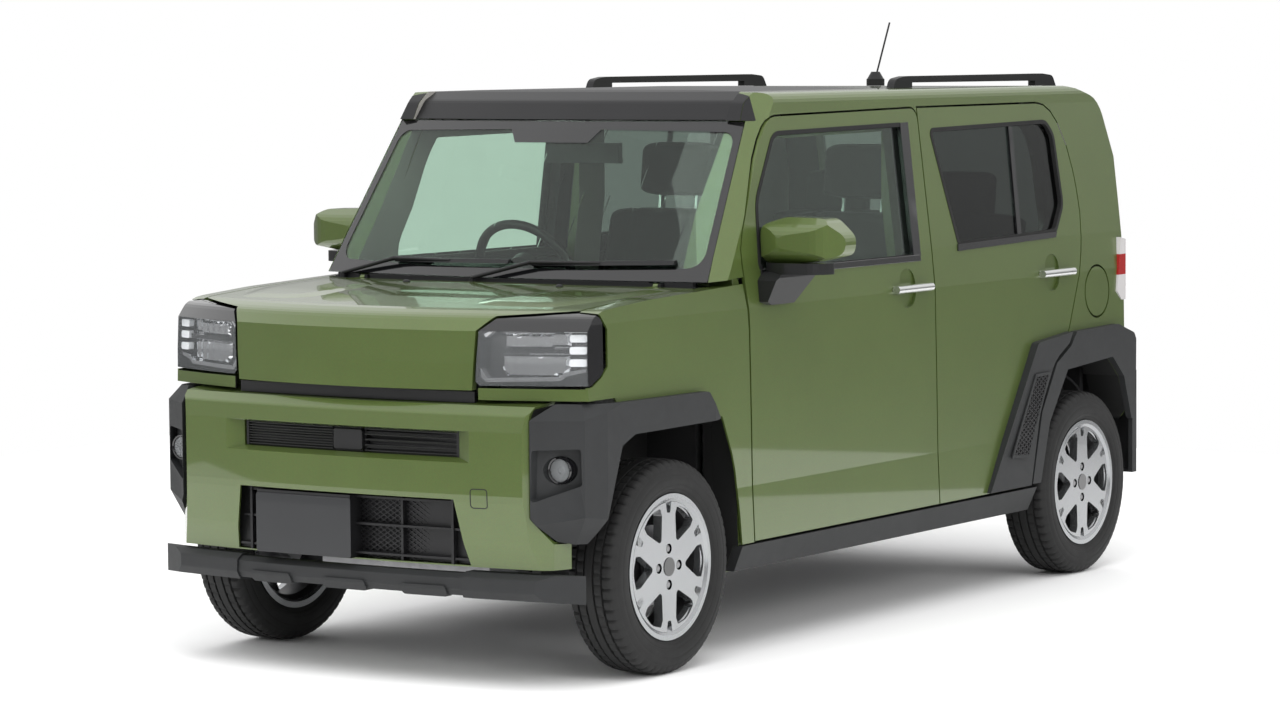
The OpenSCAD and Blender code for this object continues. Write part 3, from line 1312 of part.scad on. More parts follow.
module rim_front_right() {
    on_side(-1) rim_at(track_front / 2, axle_f);
}
module rim_rear_left() {
    rim_at(track_rear / 2, axle_r);
}
module rim_rear_right() {
    on_side(-1) rim_at(track_rear / 2, axle_r);
}

floor_pan();
body_sides();
roof_panel();
roof_glass();
fenders();
bumper_front();
grille();
front_trim();
front_claddings();
front_lamps();
windscreen();
cowl();
wipers();
roof_rails();
antenna();
rear_claddings();
sill_claddings();
bumper_rear();
tail_lamps();
dashboard();
front_seats();
rear_seat();
room_mirror();
engine();
front_subframe();
rear_axle();
exhaust();
fuel_tank();
bonnet();
door_front_left();
door_front_right();
door_rear_left();
door_rear_right();
glass_front_left();
glass_front_right();
glass_rear_left();
glass_rear_right();
mirror_left();
mirror_right();
tailgate();
tailgate_glass();
fuel_door();
steering_wheel();
knuckle_left();
knuckle_right();
tyre_front_left();
tyre_front_right();
tyre_rear_left();
tyre_rear_right();
rim_front_left();
rim_front_right();
rim_rear_left();
rim_rear_right();
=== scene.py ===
import math

import bmesh
import bpy
from mathutils import Matrix, Vector
from mathutils.geometry import delaunay_2d_cdt


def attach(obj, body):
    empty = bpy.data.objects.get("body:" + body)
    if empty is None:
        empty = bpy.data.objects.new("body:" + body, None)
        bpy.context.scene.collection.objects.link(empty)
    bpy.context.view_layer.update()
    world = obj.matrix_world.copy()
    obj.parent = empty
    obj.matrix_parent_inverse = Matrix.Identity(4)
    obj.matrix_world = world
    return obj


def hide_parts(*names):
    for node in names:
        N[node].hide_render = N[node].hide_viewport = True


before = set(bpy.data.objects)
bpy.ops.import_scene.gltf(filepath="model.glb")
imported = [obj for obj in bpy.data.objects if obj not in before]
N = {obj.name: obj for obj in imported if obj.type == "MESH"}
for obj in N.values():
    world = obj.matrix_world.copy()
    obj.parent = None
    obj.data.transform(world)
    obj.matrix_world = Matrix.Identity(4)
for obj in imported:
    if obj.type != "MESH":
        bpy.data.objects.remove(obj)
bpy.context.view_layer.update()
SCENE = bpy.context.scene

# Sizes from the part's source, in metres
HALF_W = 0.7375
FRONT_Y = -1.6975
AXLE_F, AXLE_R = -1.1625, 1.2975
HUB_Z = 0.2975
TRACK_F, TRACK_R = 0.6525, 0.6475
SIDE = [(0.200, 0.046), (0.240, 0.046), (0.319, 0.014), (0.480, 0.021), (0.700, 0.024), (0.985, 0.029),
        (1.105, 0.041), (1.534, 0.093), (1.604, 0.101)]


def side_x(z):
    for (z0, d0), (z1, d1) in zip(SIDE, SIDE[1:]):
        if z <= z1:
            t = max(0.0, (z - z0) / (z1 - z0))
            return HALF_W - d0 - t * (d1 - d0)
    return HALF_W - SIDE[-1][1]


# Materials
def material(name, color, rough=0.5, metal=0.0, coat=0.0, alpha=1.0, ior=1.5, through=0.0, sheen=0.0,
             vary=0.06, vary_scale=6.0, bump=0.0, bump_scale=400.0, bump_kind="noise", flake=0.0,
             rough_vary=0.0):
    m = bpy.data.materials.new(name)
    m.use_nodes = True
    nt = m.node_tree
    b = nt.nodes["Principled BSDF"]
    b.inputs["Base Color"].default_value = (*color, 1)
    b.inputs["Roughness"].default_value = rough
    b.inputs["Metallic"].default_value = metal
    b.inputs["IOR"].default_value = ior
    b.inputs["Coat Weight"].default_value = coat
    b.inputs["Sheen Weight"].default_value = sheen
    b.inputs["Alpha"].default_value = alpha
    b.inputs["Transmission Weight"].default_value = through
    geo = nt.nodes.new("ShaderNodeTexCoord")
    if vary:
        noise = nt.nodes.new("ShaderNodeTexNoise")
        noise.inputs["Scale"].default_value = vary_scale
        noise.inputs["Detail"].default_value = 4
        nt.links.new(geo.outputs["Object"], noise.inputs["Vector"])
        ramp = nt.nodes.new("ShaderNodeValToRGB")
        ramp.color_ramp.elements[0].position = 0.3
        ramp.color_ramp.elements[1].position = 0.7
        ramp.color_ramp.elements[0].color = (*[c * (1 - vary) for c in color], 1)
        ramp.color_ramp.elements[1].color = (*[min(1, c * (1 + vary)) for c in color], 1)
        nt.links.new(noise.outputs["Fac"], ramp.inputs["Fac"])
        last = ramp.outputs["Color"]
        if flake:
            cells = nt.nodes.new("ShaderNodeTexVoronoi")
            cells.inputs["Scale"].default_value = 1400
            nt.links.new(geo.outputs["Object"], cells.inputs["Vector"])
            mix = nt.nodes.new("ShaderNodeMix")
            mix.data_type = "RGBA"
            mix.blend_type = "SOFT_LIGHT"
            mix.inputs["Factor"].default_value = flake
            nt.links.new(last, mix.inputs["A"])
            nt.links.new(cells.outputs["Color"], mix.inputs["B"])
            last = mix.outputs["Result"]
        nt.links.new(last, b.inputs["Base Color"])
    if rough_vary:
        smear = nt.nodes.new("ShaderNodeTexNoise")
        smear.inputs["Scale"].default_value = 30
        smear.inputs["Detail"].default_value = 6
        nt.links.new(geo.outputs["Object"], smear.inputs["Vector"])
        span = nt.nodes.new("ShaderNodeMapRange")
        span.inputs["To Min"].default_value = max(0, rough - rough_vary)
        span.inputs["To Max"].default_value = min(1, rough + rough_vary)
        nt.links.new(smear.outputs["Fac"], span.inputs["Value"])
        nt.links.new(span.outputs["Result"], b.inputs["Roughness"])
    if bump:
        if bump_kind == "noise":
            grain = nt.nodes.new("ShaderNodeTexNoise")
            grain.inputs["Detail"].default_value = 3
            out = "Fac"
        else:
            grain = nt.nodes.new("ShaderNodeTexVoronoi")
            out = "Distance"
        grain.inputs["Scale"].default_value = bump_scale
        nt.links.new(geo.outputs["Object"], grain.inputs["Vector"])
        bn = nt.nodes.new("ShaderNodeBump")
        bn.inputs["Strength"].default_value = bump
        bn.inputs["Distance"].default_value = 0.001
        nt.links.new(grain.outputs[out], bn.inputs["Height"])
        nt.links.new(bn.outputs["Normal"], b.inputs["Normal"])
    return m


M = {
    "paint": material("olive_paint", (0.092, 0.133, 0.033), rough=0.36, metal=0.35, coat=1.0, vary=0.03,
                      flake=0.2),
    "cladding": material("grained_cladding", (0.019, 0.020, 0.021), rough=0.62, bump=0.3, bump_scale=700,
                         bump_kind="cells", vary=0.1, rough_vary=0.06),
    "black": material("satin_black", (0.009, 0.009, 0.010), rough=0.45, bump=0.15, bump_scale=900,
                      vary=0.1),
    "gloss": material("gloss_black", (0.006, 0.006, 0.007), rough=0.12, coat=1.0, vary=0.1),
    "chassis": material("chassis_black", (0.012, 0.012, 0.012), rough=0.6, bump=0.2, bump_scale=300,
                        vary=0.2),
    "glass": material("window_glass", (0.62, 0.76, 0.67), rough=0.0, ior=1.42, through=1.0, vary=0.01),
    "privacy": material("privacy_glass", (0.13, 0.15, 0.14), rough=0.0, ior=1.42, through=1.0,
                        vary=0.01),
    "clear": material("clear_lens", (0.80, 0.84, 0.86), rough=0.01, alpha=0.10, ior=1.45, vary=0.02),
    "alloy": material("silver_alloy", (0.40, 0.41, 0.42), rough=0.26, metal=0.9, coat=0.3, vary=0.03,
                      flake=0.15),
    "chrome": material("chrome", (0.86, 0.87, 0.89), rough=0.07, metal=1.0, vary=0.02),
    "steel": material("bare_metal", (0.35, 0.35, 0.36), rough=0.42, metal=0.9, vary=0.12, vary_scale=25,
                      rough_vary=0.1),
    "rubber": material("tyre_rubber", (0.011, 0.011, 0.011), rough=0.72, bump=0.25, bump_scale=500,
                       vary=0.15, rough_vary=0.08),
    "cloth": material("seat_cloth", (0.020, 0.020, 0.022), rough=0.9, sheen=0.2, bump=0.2,
                      bump_scale=260, bump_kind="cells", vary=0.15),
    "dark_plate": material("blank_dark_plate", (0.020, 0.021, 0.023), rough=0.38, coat=0.2, vary=0.05,
                           bump=0.05),
    "fin": material("dark_fins", (0.011, 0.011, 0.012), rough=0.4, bump=0.1, vary=0.1),
    "sensor": material("grey_sensor", (0.012, 0.012, 0.013), rough=0.5, vary=0.05),
    "handle": material("silver_handle", (0.62, 0.63, 0.62), rough=0.16, metal=0.9, coat=0.6, vary=0.02),
    "white": material("lamp_white", (0.74, 0.76, 0.78), rough=0.25, coat=0.6, vary=0.03),
    "trim": material("door_trim", (0.024, 0.024, 0.026), rough=0.7, bump=0.1, bump_scale=260),
    "liner": material("roof_liner", (0.30, 0.29, 0.27), rough=0.9, bump=0.08, bump_scale=200, vary=0.05),
    "carpet": material("floor_carpet", (0.016, 0.016, 0.017), rough=0.95, bump=0.25, bump_scale=200,
                       vary=0.2),
    # Dark metal: painted shade on the alloy barrel inside the rims and on the chrome fog reflector
    "shade_dark_metal": material("painted_shade_metal", (0.07, 0.07, 0.072), rough=0.45, metal=0.8, vary=0.08),
    "header": material("header_black", (0.006, 0.006, 0.007), rough=0.4, vary=0.1),
    "tail": material("tail_lens", (0.62, 0.60, 0.60), rough=0.12, coat=0.6, vary=0.02),
    "mirror": material("mirror_glass", (0.80, 0.82, 0.83), rough=0.02, metal=1.0, vary=0.01),
}


def red_band(m, low, high, red):
    """Red between two heights, the material's own colour elsewhere."""
    nt = m.node_tree
    b = nt.nodes["Principled BSDF"]
    was = b.inputs["Base Color"].links[0].from_socket
    coord = nt.nodes.new("ShaderNodeTexCoord")
    split = nt.nodes.new("ShaderNodeSeparateXYZ")
    nt.links.new(coord.outputs["Object"], split.inputs["Vector"])
    over = nt.nodes.new("ShaderNodeMath")
    over.operation = "COMPARE"
    over.inputs[1].default_value = (low + high) / 2
    over.inputs[2].default_value = (high - low) / 2
    nt.links.new(split.outputs["Z"], over.inputs[0])
    mix = nt.nodes.new("ShaderNodeMix")
    mix.data_type = "RGBA"
    mix.inputs["B"].default_value = (*red, 1)
    nt.links.new(over.outputs["Value"], mix.inputs["Factor"])
    nt.links.new(was, mix.inputs["A"])
    nt.links.new(mix.outputs["Result"], b.inputs["Base Color"])


TAIL_RED_LOW, TAIL_RED_HIGH = 0.962, 1.030
red_band(M["tail"], TAIL_RED_LOW, TAIL_RED_HIGH, (0.35, 0.010, 0.010))
NODE_FINISH = {
    "paint": "floor_pan body_sides roof_panel fenders bumper_front bonnet door_front_left door_front_right "
             "door_rear_left door_rear_right tailgate fuel_door",
    "cladding": "front_trim front_claddings rear_claddings sill_claddings bumper_rear",
    "black": "grille cowl wipers antenna dashboard room_mirror steering_wheel mirror_left mirror_right "
             "roof_rails",
    "header": "roof_glass",
    "chassis": "front_subframe rear_axle fuel_tank",
    "glass": "windscreen glass_front_left glass_front_right",
    "privacy": "glass_rear_left glass_rear_right tailgate_glass",
    "clear": "front_lamps",
    "tail": "tail_lamps",
    "cloth": "front_seats rear_seat",
    "steel": "engine exhaust knuckle_left knuckle_right",
    "alloy": "rim_front_left rim_front_right rim_rear_left rim_rear_right",
    "rubber": "tyre_front_left tyre_front_right tyre_rear_left tyre_rear_right",
}
for key, names in NODE_FINISH.items():
    for n in names.split():
        N[n].data.materials.clear()
        N[n].data.materials.append(M[key])


# Stage, light and camera: the camera's focal length and shift are in pixels of the image
IMAGE_W, SENSOR = 1280, 36
FOCAL, SHIFT_X, SHIFT_Y = 4008.7, -80.88, -21.5
CAMERA_AT = (6.7655, -10.3084, 1.7275)
CAMERA_TURN, CAMERA_RISE, CAMERA_ROLL = 0.57077362, 0.0727904, -0.0070078
FLOOR_HALF = 5


def stage():
    me = bpy.data.meshes.new("floor")
    h = FLOOR_HALF
    me.from_pydata([(-h, -h, 0), (h, -h, 0), (h, h, 0), (-h, h, 0)], [], [(0, 1, 2, 3)])
    floor = bpy.data.objects.new("floor", me)
    SCENE.collection.objects.link(floor)
    me.materials.append(material("pale_floor", (0.93, 0.93, 0.93), rough=0.95, vary=0.0))
    world = bpy.data.worlds.new("studio")
    SCENE.world = world
    world.use_nodes = True
    nt = world.node_tree
    bg = nt.nodes["Background"]
    bg.inputs["Strength"].default_value = 1.0
    coord = nt.nodes.new("ShaderNodeTexCoord")
    split = nt.nodes.new("ShaderNodeSeparateXYZ")
    nt.links.new(coord.outputs["Generated"], split.inputs["Vector"])
    span = nt.nodes.new("ShaderNodeMapRange")
    span.inputs["From Min"].default_value = -1.0
    nt.links.new(split.outputs["Z"], span.inputs["Value"])
    ramp = nt.nodes.new("ShaderNodeValToRGB")
    stops = ramp.color_ramp.elements
    stops[0].position, stops[0].color = 0.47, (0.16, 0.16, 0.16, 1)
    stops[1].position, stops[1].color = 0.68, (1.0, 1.0, 1.0, 1)
    for place, level in ((0.51, 0.26), (0.58, 0.62)):
        stop = stops.new(place)
        stop.color = (level, level, level, 1)
    nt.links.new(span.outputs["Result"], ramp.inputs["Fac"])
    path = nt.nodes.new("ShaderNodeLightPath")
    mix = nt.nodes.new("ShaderNodeMix")
    mix.data_type = "RGBA"
    seen = nt.nodes.new("ShaderNodeMath")
    seen.operation = "MAXIMUM"
    nt.links.new(path.outputs["Is Camera Ray"], seen.inputs[0])
    nt.links.new(path.outputs["Is Transmission Ray"], seen.inputs[1])
    nt.links.new(seen.outputs["Value"], mix.inputs["Factor"])
    nt.links.new(ramp.outputs["Color"], mix.inputs["A"])
    mix.inputs["B"].default_value = (1, 1, 1, 1)
    nt.links.new(mix.outputs["Result"], bg.inputs["Color"])

    def area(name, place, aim, size, power):
        light = bpy.data.lights.new(name, "AREA")
        light.shape = "RECTANGLE"
        light.size, light.size_y = size
        light.energy = power
        lamp = bpy.data.objects.new(name, light)
        lamp.location = place
        lamp.visible_glossy = False
        lamp.rotation_euler = (Vector(aim) - Vector(place)).to_track_quat("-Z", "Y").to_euler()
        SCENE.collection.objects.link(lamp)

    area("key", (1.5, -3.5, 6.5), (0, -0.3, 0.6), (7, 5), 350)
    area("side", (7.5, -1.0, 3.2), (0.5, 0, 0.8), (6, 2.5), 165)
    area("front", (-3.5, -8.0, 3.5), (0, -1.5, 0.8), (4, 2.5), 100)
    area("back", (-4, 6.5, 4.5), (0, 1, 0.8), (6, 3), 180)


def camera():
    cam = bpy.data.cameras.new("camera")
    cam.sensor_width = SENSOR
    cam.lens = FOCAL / IMAGE_W * SENSOR
    cam.shift_x, cam.shift_y = SHIFT_X / IMAGE_W, SHIFT_Y / IMAGE_W
    cam.clip_end = 200
    a, e, roll = CAMERA_TURN, CAMERA_RISE, CAMERA_ROLL
    back = Vector((math.sin(a) * math.cos(e), -math.cos(a) * math.cos(e), math.sin(e)))
    right = (-back).cross(Vector((0, 0, 1))).normalized()
    up = right.cross(-back)
    r2 = math.cos(roll) * right + math.sin(roll) * up
    u2 = -math.sin(roll) * right + math.cos(roll) * up
    obj = bpy.data.objects.new("camera", cam)
    x, y, z = CAMERA_AT
    obj.matrix_world = Matrix(((r2.x, u2.x, back.x, x), (r2.y, u2.y, back.y, y), (r2.z, u2.z, back.z, z),
                               (0, 0, 0, 1)))
    SCENE.collection.objects.link(obj)
    SCENE.camera = obj


stage()
camera()
SCENE.view_settings.view_transform = "Standard"

# Shapes shared with the source
def rounded(pts, step=12):
    out = []
    n = len(pts)
    for i, p in enumerate(pts):
        r = p[2] if len(p) > 2 else 0
        q = Vector(p[:2])
        a, b = Vector(pts[i - 1][:2]) - q, Vector(pts[(i + 1) % n][:2]) - q
        half = a.angle(b) / 2
        if r <= 0 or half > math.radians(89.5):
            out.append((q.x, q.y))
            continue
        cut = min(r / math.tan(half), 0.49 * a.length, 0.49 * b.length)
        rr = cut * math.tan(half)
        c = q + (a.normalized() + b.normalized()).normalized() * rr / math.sin(half)
        s, e = q + a.normalized() * cut - c, q + b.normalized() * cut - c
        turn = s.angle_signed(e)
        k = max(1, math.ceil(abs(math.degrees(turn)) / step))
        for j in range(k + 1):
            t = -turn * j / k
            out.append((c.x + s.x * math.cos(t) - s.y * math.sin(t),
                        c.y + s.x * math.sin(t) + s.y * math.cos(t)))
    return out


def grown(pts, d):
    n = len(pts)
    area = sum(pts[i - 1][0] * pts[i][1] - pts[i][0] * pts[i - 1][1] for i in range(n))
    d = d if area > 0 else -d
    out = []
    for i in range(n):
        p = Vector(pts[i][:2])
        u, w = (p - Vector(pts[i - 1][:2])).normalized(), (Vector(pts[(i + 1) % n][:2]) - p).normalized()
        n1, n2 = Vector((u.y, -u.x)), Vector((w.y, -w.x))
        m = (n1 + n2).normalized()
        q = p + m * d / max(0.3, m.dot(n1))
        out.append((q.x, q.y) + tuple(pts[i][2:]))
    return out


def inside(poly, u, v):
    hit = False
    for (x0, y0), (x1, y1) in zip(poly, poly[1:] + poly[:1]):
        if (y0 > v) != (y1 > v) and u < (x1 - x0) * (v - y0) / (y1 - y0) + x0:
            hit = not hit
    return hit


def edge_distance(loops, u, v):
    best = 9.0
    for loop in loops:
        for (x0, y0), (x1, y1) in zip(loop, loop[1:] + loop[:1]):
            dx, dy = x1 - x0, y1 - y0
            t = max(0, min(1, ((u - x0) * dx + (v - y0) * dy) / max(1e-12, dx * dx + dy * dy)))
            best = min(best, math.hypot(u - x0 - t * dx, v - y0 - t * dy))
    return best


def sheet_mesh(loops, cell):
    """Triangles filling an outline and its holes, with points on a grid inside."""
    pts, edges, dense = [], [], []
    for loop in loops:
        ring = []
        for (x0, y0), (x1, y1) in zip(loop, loop[1:] + loop[:1]):
            k = max(1, math.ceil(math.hypot(x1 - x0, y1 - y0) / cell))
            ring += [(x0 + (x1 - x0) * j / k, y0 + (y1 - y0) * j / k) for j in range(k)]
        n0 = len(pts)
        pts += ring
        edges += [(n0 + j, n0 + (j + 1) % len(ring)) for j in range(len(ring))]
        dense.append(ring)

    def within(u, v):
        return inside(dense[0], u, v) and not any(inside(h, u, v) for h in dense[1:])
    us, vs = [p[0] for p in dense[0]], [p[1] for p in dense[0]]
    for i in range(1, int((max(us) - min(us)) / cell) + 1):
        for j in range(1, int((max(vs) - min(vs)) / cell) + 1):
            u, v = min(us) + (i + 0.5 * (j % 2)) * cell, min(vs) + j * cell
            if within(u, v) and edge_distance(loops, u, v) > 0.4 * cell:
                pts.append((u, v))
    got = delaunay_2d_cdt([Vector(p) for p in pts], edges, [], 0, 1e-7)
    verts = [(v.x, v.y) for v in got[0]]
    faces = []
    for f in got[2]:
        u = sum(verts[i][0] for i in f) / 3
        v = sum(verts[i][1] for i in f) / 3
        if within(u, v):
            faces.append(list(f))
    return verts, faces


def add(name, verts, faces, mat, body, angle=32, bevel=0.0):
    me = bpy.data.meshes.new(name)
    me.from_pydata([tuple(v) for v in verts], [], faces)
    bm = bmesh.new()
    bm.from_mesh(me)
    bmesh.ops.remove_doubles(bm, verts=bm.verts, dist=1e-6)
    bmesh.ops.recalc_face_normals(bm, faces=bm.faces)
    bm.to_mesh(me)
    bm.free()
    me.shade_smooth()
    me.set_sharp_from_angle(angle=math.radians(angle))
    me.materials.append(M[mat])
    obj = bpy.data.objects.new(name, me)
    SCENE.collection.objects.link(obj)
    if bevel:
        mod = obj.modifiers.new("soft_edges", "BEVEL")
        mod.width, mod.segments, mod.limit_method, mod.angle_limit = bevel, 2, "ANGLE", math.radians(35)
        mod.harden_normals = True
    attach(obj, body)
    return obj


def plate(name, loops, place, d0, d1, mat, body, cell=0.03, bevel=0.0, rise=None):
    """A sheet on a curved surface: place(u, v, d) is a point d outside it, rise(u, v, edge) adds to d0."""
    uv, tris = sheet_mesh(loops, cell)
    top = []
    for u, v in uv:
        d = d0 + (rise(u, v, edge_distance(loops, u, v)) if rise else 0)
        top.append(place(u, v, d))
    n = len(uv)
    low = [place(u, v, d1) for u, v in uv]
    faces = list(tris) + [[n + i for i in reversed(f)] for f in tris]
    seen = {}
    for f in tris:
        for i in range(3):
            e = (f[i], f[(i + 1) % 3])
            seen[e] = True
    for a, b in seen:
        if (b, a) not in seen:
            faces.append([a, n + a, n + b, b])
    return add(name, top + low, faces, mat, body, bevel=bevel)


def revolve(name, profile, center, mat, body, axis="x", seg=96, angle=32, dent=None):
    """A turned shape: profile is [(radius, along)]; dent(i, j) is taken off the radius."""
    verts, faces = [], []
    n = len(profile)
    for j in range(seg):
        t = 2 * math.pi * j / seg
        for i, (r, a) in enumerate(profile):
            rr = r - (dent(i, j) if dent else 0)
            p = (a, rr * math.cos(t), rr * math.sin(t)) if axis == "x" else \
                (rr * math.cos(t), a, rr * math.sin(t)) if axis == "y" else (rr * math.cos(t),
                        rr * math.sin(t), a)
            verts.append(tuple(c + q for c, q in zip(center, p)))
    for j in range(seg):
        k = (j + 1) % seg
        for i in range(n):
            m = (i + 1) % n
            faces.append([j * n + i, j * n + m, k * n + m, k * n + i])
    return add(name, verts, faces, mat, body, angle=angle)


def tube(name, path, radius, mat, body, sides=12):
    """A round bar along a path, with closed ends."""
    pts = [Vector(p) for p in path]
    verts, faces = [], []
    for i, p in enumerate(pts):
        d = (pts[min(i + 1, len(pts) - 1)] - pts[max(i - 1, 0)]).normalized()
        side = d.cross(Vector((0, 0, 1)))
        side = side.normalized() if side.length > 1e-4 else Vector((1, 0, 0))
        up = side.cross(d).normalized()
        for j in range(sides):
            t = 2 * math.pi * j / sides
            verts.append(p + side * radius * math.cos(t) + up * radius * math.sin(t))
    for i in range(len(pts) - 1):
        for j in range(sides):
            k = (j + 1) % sides
            faces.append([i * sides + j, i * sides + k, (i + 1) * sides + k, (i + 1) * sides + j])
    faces.append(list(range(sides))[::-1])
    faces.append([(len(pts) - 1) * sides + j for j in range(sides)])
    return add(name, verts, faces, mat, body)


def prism(name, outline, axis, a0, a1, mat, body, bevel=0.0):
    """An outline extruded along x (outline in y, z), y (in x, z) or z (in x, y)."""
    def at(u, v, a):
        return {"x": (a, u, v), "y": (u, a, v), "z": (u, v, a)}[axis]
    n = len(outline)
    verts = [at(u, v, a0) for u, v in outline] + [at(u, v, a1) for u, v in outline]
    faces = [list(range(n))[::-1], list(range(n, 2 * n))]
    faces += [[i, (i + 1) % n, n + (i + 1) % n, n + i] for i in range(n)]
    return add(name, verts, faces, mat, body, bevel=bevel)


def box_outline(u0, v0, u1, v1, r=0.0):
    return rounded([(u0, v0, r), (u1, v0, r), (u1, v1, r), (u0, v1, r)])


# Surfaces of the body: front face, bonnet top, side, windscreen and bumper
NOSE_R, NOSE_Y = 1.8, FRONT_Y + 0.014
NOSE_C = NOSE_Y + NOSE_R
NOSE = rounded([(-0.6365, 1.076), (-0.9565, 1.056), (NOSE_Y + 0.280, 1.037, 0.6),
                (NOSE_Y + 0.075, 1.021, 0.15),
                (NOSE_Y + 0.032, 1.003, 0.04), (NOSE_Y + 0.004, 0.968), (NOSE_Y, 0.880), (NOSE_Y, 0.25),
                (-0.6365, 0.25)], 4)
SCREEN_FOOT, SCREEN_LEAN, SCREEN_R, SCREEN_Z = -0.9505, math.atan(308 / 448), 4.3, 1.064


def along(table, key, want, value):
    for p, q in zip(table, table[1:]):
        if min(p[key], q[key]) <= want <= max(p[key], q[key]) and abs(q[key] - p[key]) > 1e-9:
            return p[value] + (q[value] - p[value]) * (want - p[key]) / (q[key] - p[key])
    return None


NOSE_FACE = [p for p in NOSE if p[0] < NOSE_Y + 0.08]
NOSE_TOP = [p for p in NOSE if p[1] > 1.0]


def on_nose(x, z, d=0.0):
    yp = along(NOSE_FACE, 1, z, 0)
    r = NOSE_C - (NOSE_Y if yp is None else yp) + d
    return (x, NOSE_C - math.sqrt(r * r - x * x), z)


def on_bonnet(x, y, d=0.0):
    yp = NOSE_C - math.hypot(x, NOSE_C - y)
    return (x, y, (along(NOSE_TOP, 0, yp, 1) or 1.056) + d)


def on_side(y, z, d=0.0):
    return (side_x(z) + d, y, z)


def on_screen(x, z, d=0.0):
    foot = SCREEN_FOOT + (SCREEN_R - math.sqrt(SCREEN_R ** 2 - x * x)) / math.cos(SCREEN_LEAN)
    return (x, foot + (z - SCREEN_Z) * math.tan(SCREEN_LEAN) - d / math.cos(SCREEN_LEAN), z)


BUMPER_R = 4.4
BUMPER = rounded([(FRONT_Y + 0.170, 0.786), (FRONT_Y + 0.030, 0.770), (FRONT_Y + 0.006, 0.748, 0.012),
                  (FRONT_Y, 0.700, 0.03),
                  (FRONT_Y, 0.520, 0.2), (FRONT_Y + 0.012, 0.400, 0.1), (FRONT_Y + 0.030, 0.332),
                  (FRONT_Y + 0.170, 0.328)], 4)


def on_bumper(x, z, d=0.0):
    yp = along([p for p in BUMPER if p[0] < FRONT_Y + 0.035], 1, z, 0) or FRONT_Y
    return (x, yp + x * x / (2 * BUMPER_R) - d, z)


def mirrored(place, s):
    def at(u, v, d=0.0):
        x, y, z = place(u, v, d)
        return (s * x, y, z)
    return at


def feather(height, width):
    def rise(u, v, edge):
        t = min(1.0, edge / width)
        return height * t * t * (3 - 2 * t)
    return rise


SIDES = (("left", 1), ("right", -1))


# Finishes that change within one part
def finish(name, keys, rule):
    """rule(x, y, z, normal) gives the place in keys of each face's finish; x is outward on both sides."""
    me = N[name].data
    me.materials.clear()
    for k in keys:
        me.materials.append(M[k])
    for f in me.polygons:
        c, n = f.center, f.normal
        s = 1 if c.x >= 0 else -1
        f.material_index = rule(s * c.x, c.y, c.z, Vector((s * n.x, n.y, n.z)))


def soften(name, width=0.0025, angle=30):
    obj = N[name]
    obj.data.shade_smooth()
    obj.data.set_sharp_from_angle(angle=math.radians(angle))
    if width:
        mod = obj.modifiers.new("soft_edges", "BEVEL")
        mod.width, mod.segments, mod.limit_method, mod.angle_limit = width, 2, "ANGLE", math.radians(40)
        mod.harden_normals = True


for n in N:
    soften(n, 0.0)
ROUNDED = ("bonnet fenders bumper_front door_front_left door_front_right door_rear_left door_rear_right "
           "body_sides tailgate roof_panel front_claddings rear_claddings sill_claddings bumper_rear "
           "front_trim mirror_left mirror_right roof_rails rim_front_left rim_front_right rim_rear_left "
           "rim_rear_right dashboard cowl")
for n in ROUNDED.split():
    soften(n, 0.002)

HANDLE_Z, HANDLE_HALF = 0.992, 0.03
CLAD_TOP = 0.82
PROUD, SKIN = 0.0025, 0.014
MIRROR_FOOT_TOP = 1.109


def door_rule(x, y, z, n):
    if x > side_x(HANDLE_Z) + PROUD and abs(z - HANDLE_Z) < HANDLE_HALF:
        return 2
    if z < CLAD_TOP and x > side_x(z) + PROUD:
        return 1
    return 3 if x < side_x(z) - SKIN and n.x < 0.3 else 0


def mirror_rule(x, y, z, n):
    return 0 if z > MIRROR_FOOT_TOP and n.y < 0.9 else 1


for side, s in SIDES:
    for end in ("front", "rear"):
        finish("door_%s_%s" % (end, side), ("paint", "cladding", "handle", "trim"), door_rule)
    finish("mirror_" + side, ("paint", "black"), mirror_rule)


def shell_rule(x, y, z, n):
    if x > side_x(z) - 0.03:
        return 0
    if z < 0.72 or (y < -0.80 and z < 1.0 and n.x < 0.3 and n.y > -0.3):
        return 2
    return 1 if n.x < -0.3 or (n.z < -0.5 and z > 1.3) else 0


for n in ("body_sides", "roof_panel"):
    finish(n, ("paint", "liner", "chassis"), shell_rule)


def fender_rule(x, y, z, n):
    return 1 if x < side_x(z) - 0.02 and n.x < 0.3 and n.y > -0.3 and z < 0.98 else 0


def floor_rule(x, y, z, n):
    return 1 if z < 0.245 or y < -0.82 or n.z < -0.5 else 0


finish("fenders", ("paint", "chassis"), fender_rule)
finish("floor_pan", ("carpet", "chassis"), floor_rule)
for side, s in SIDES:
    soften("mirror_" + side, 0.0)
    mod = N["mirror_" + side].modifiers["soft_edges"]
    mod.width, mod.segments, mod.angle_limit = 0.007, 4, math.radians(20)
finish("tailgate", ("paint", "trim"), lambda x, y, z, n: 1 if n.y < -0.3 and n.z < 0.6 else 0)


def lamp_rule(x, y, z, n):
    if z < 0.7:
        return 2
    return 0 if abs(math.hypot(x, NOSE_C - y) - NOSE_R) < 0.004 and n.y < -0.7 else 1


finish("front_lamps", ("clear", "gloss", "black"), lamp_rule)


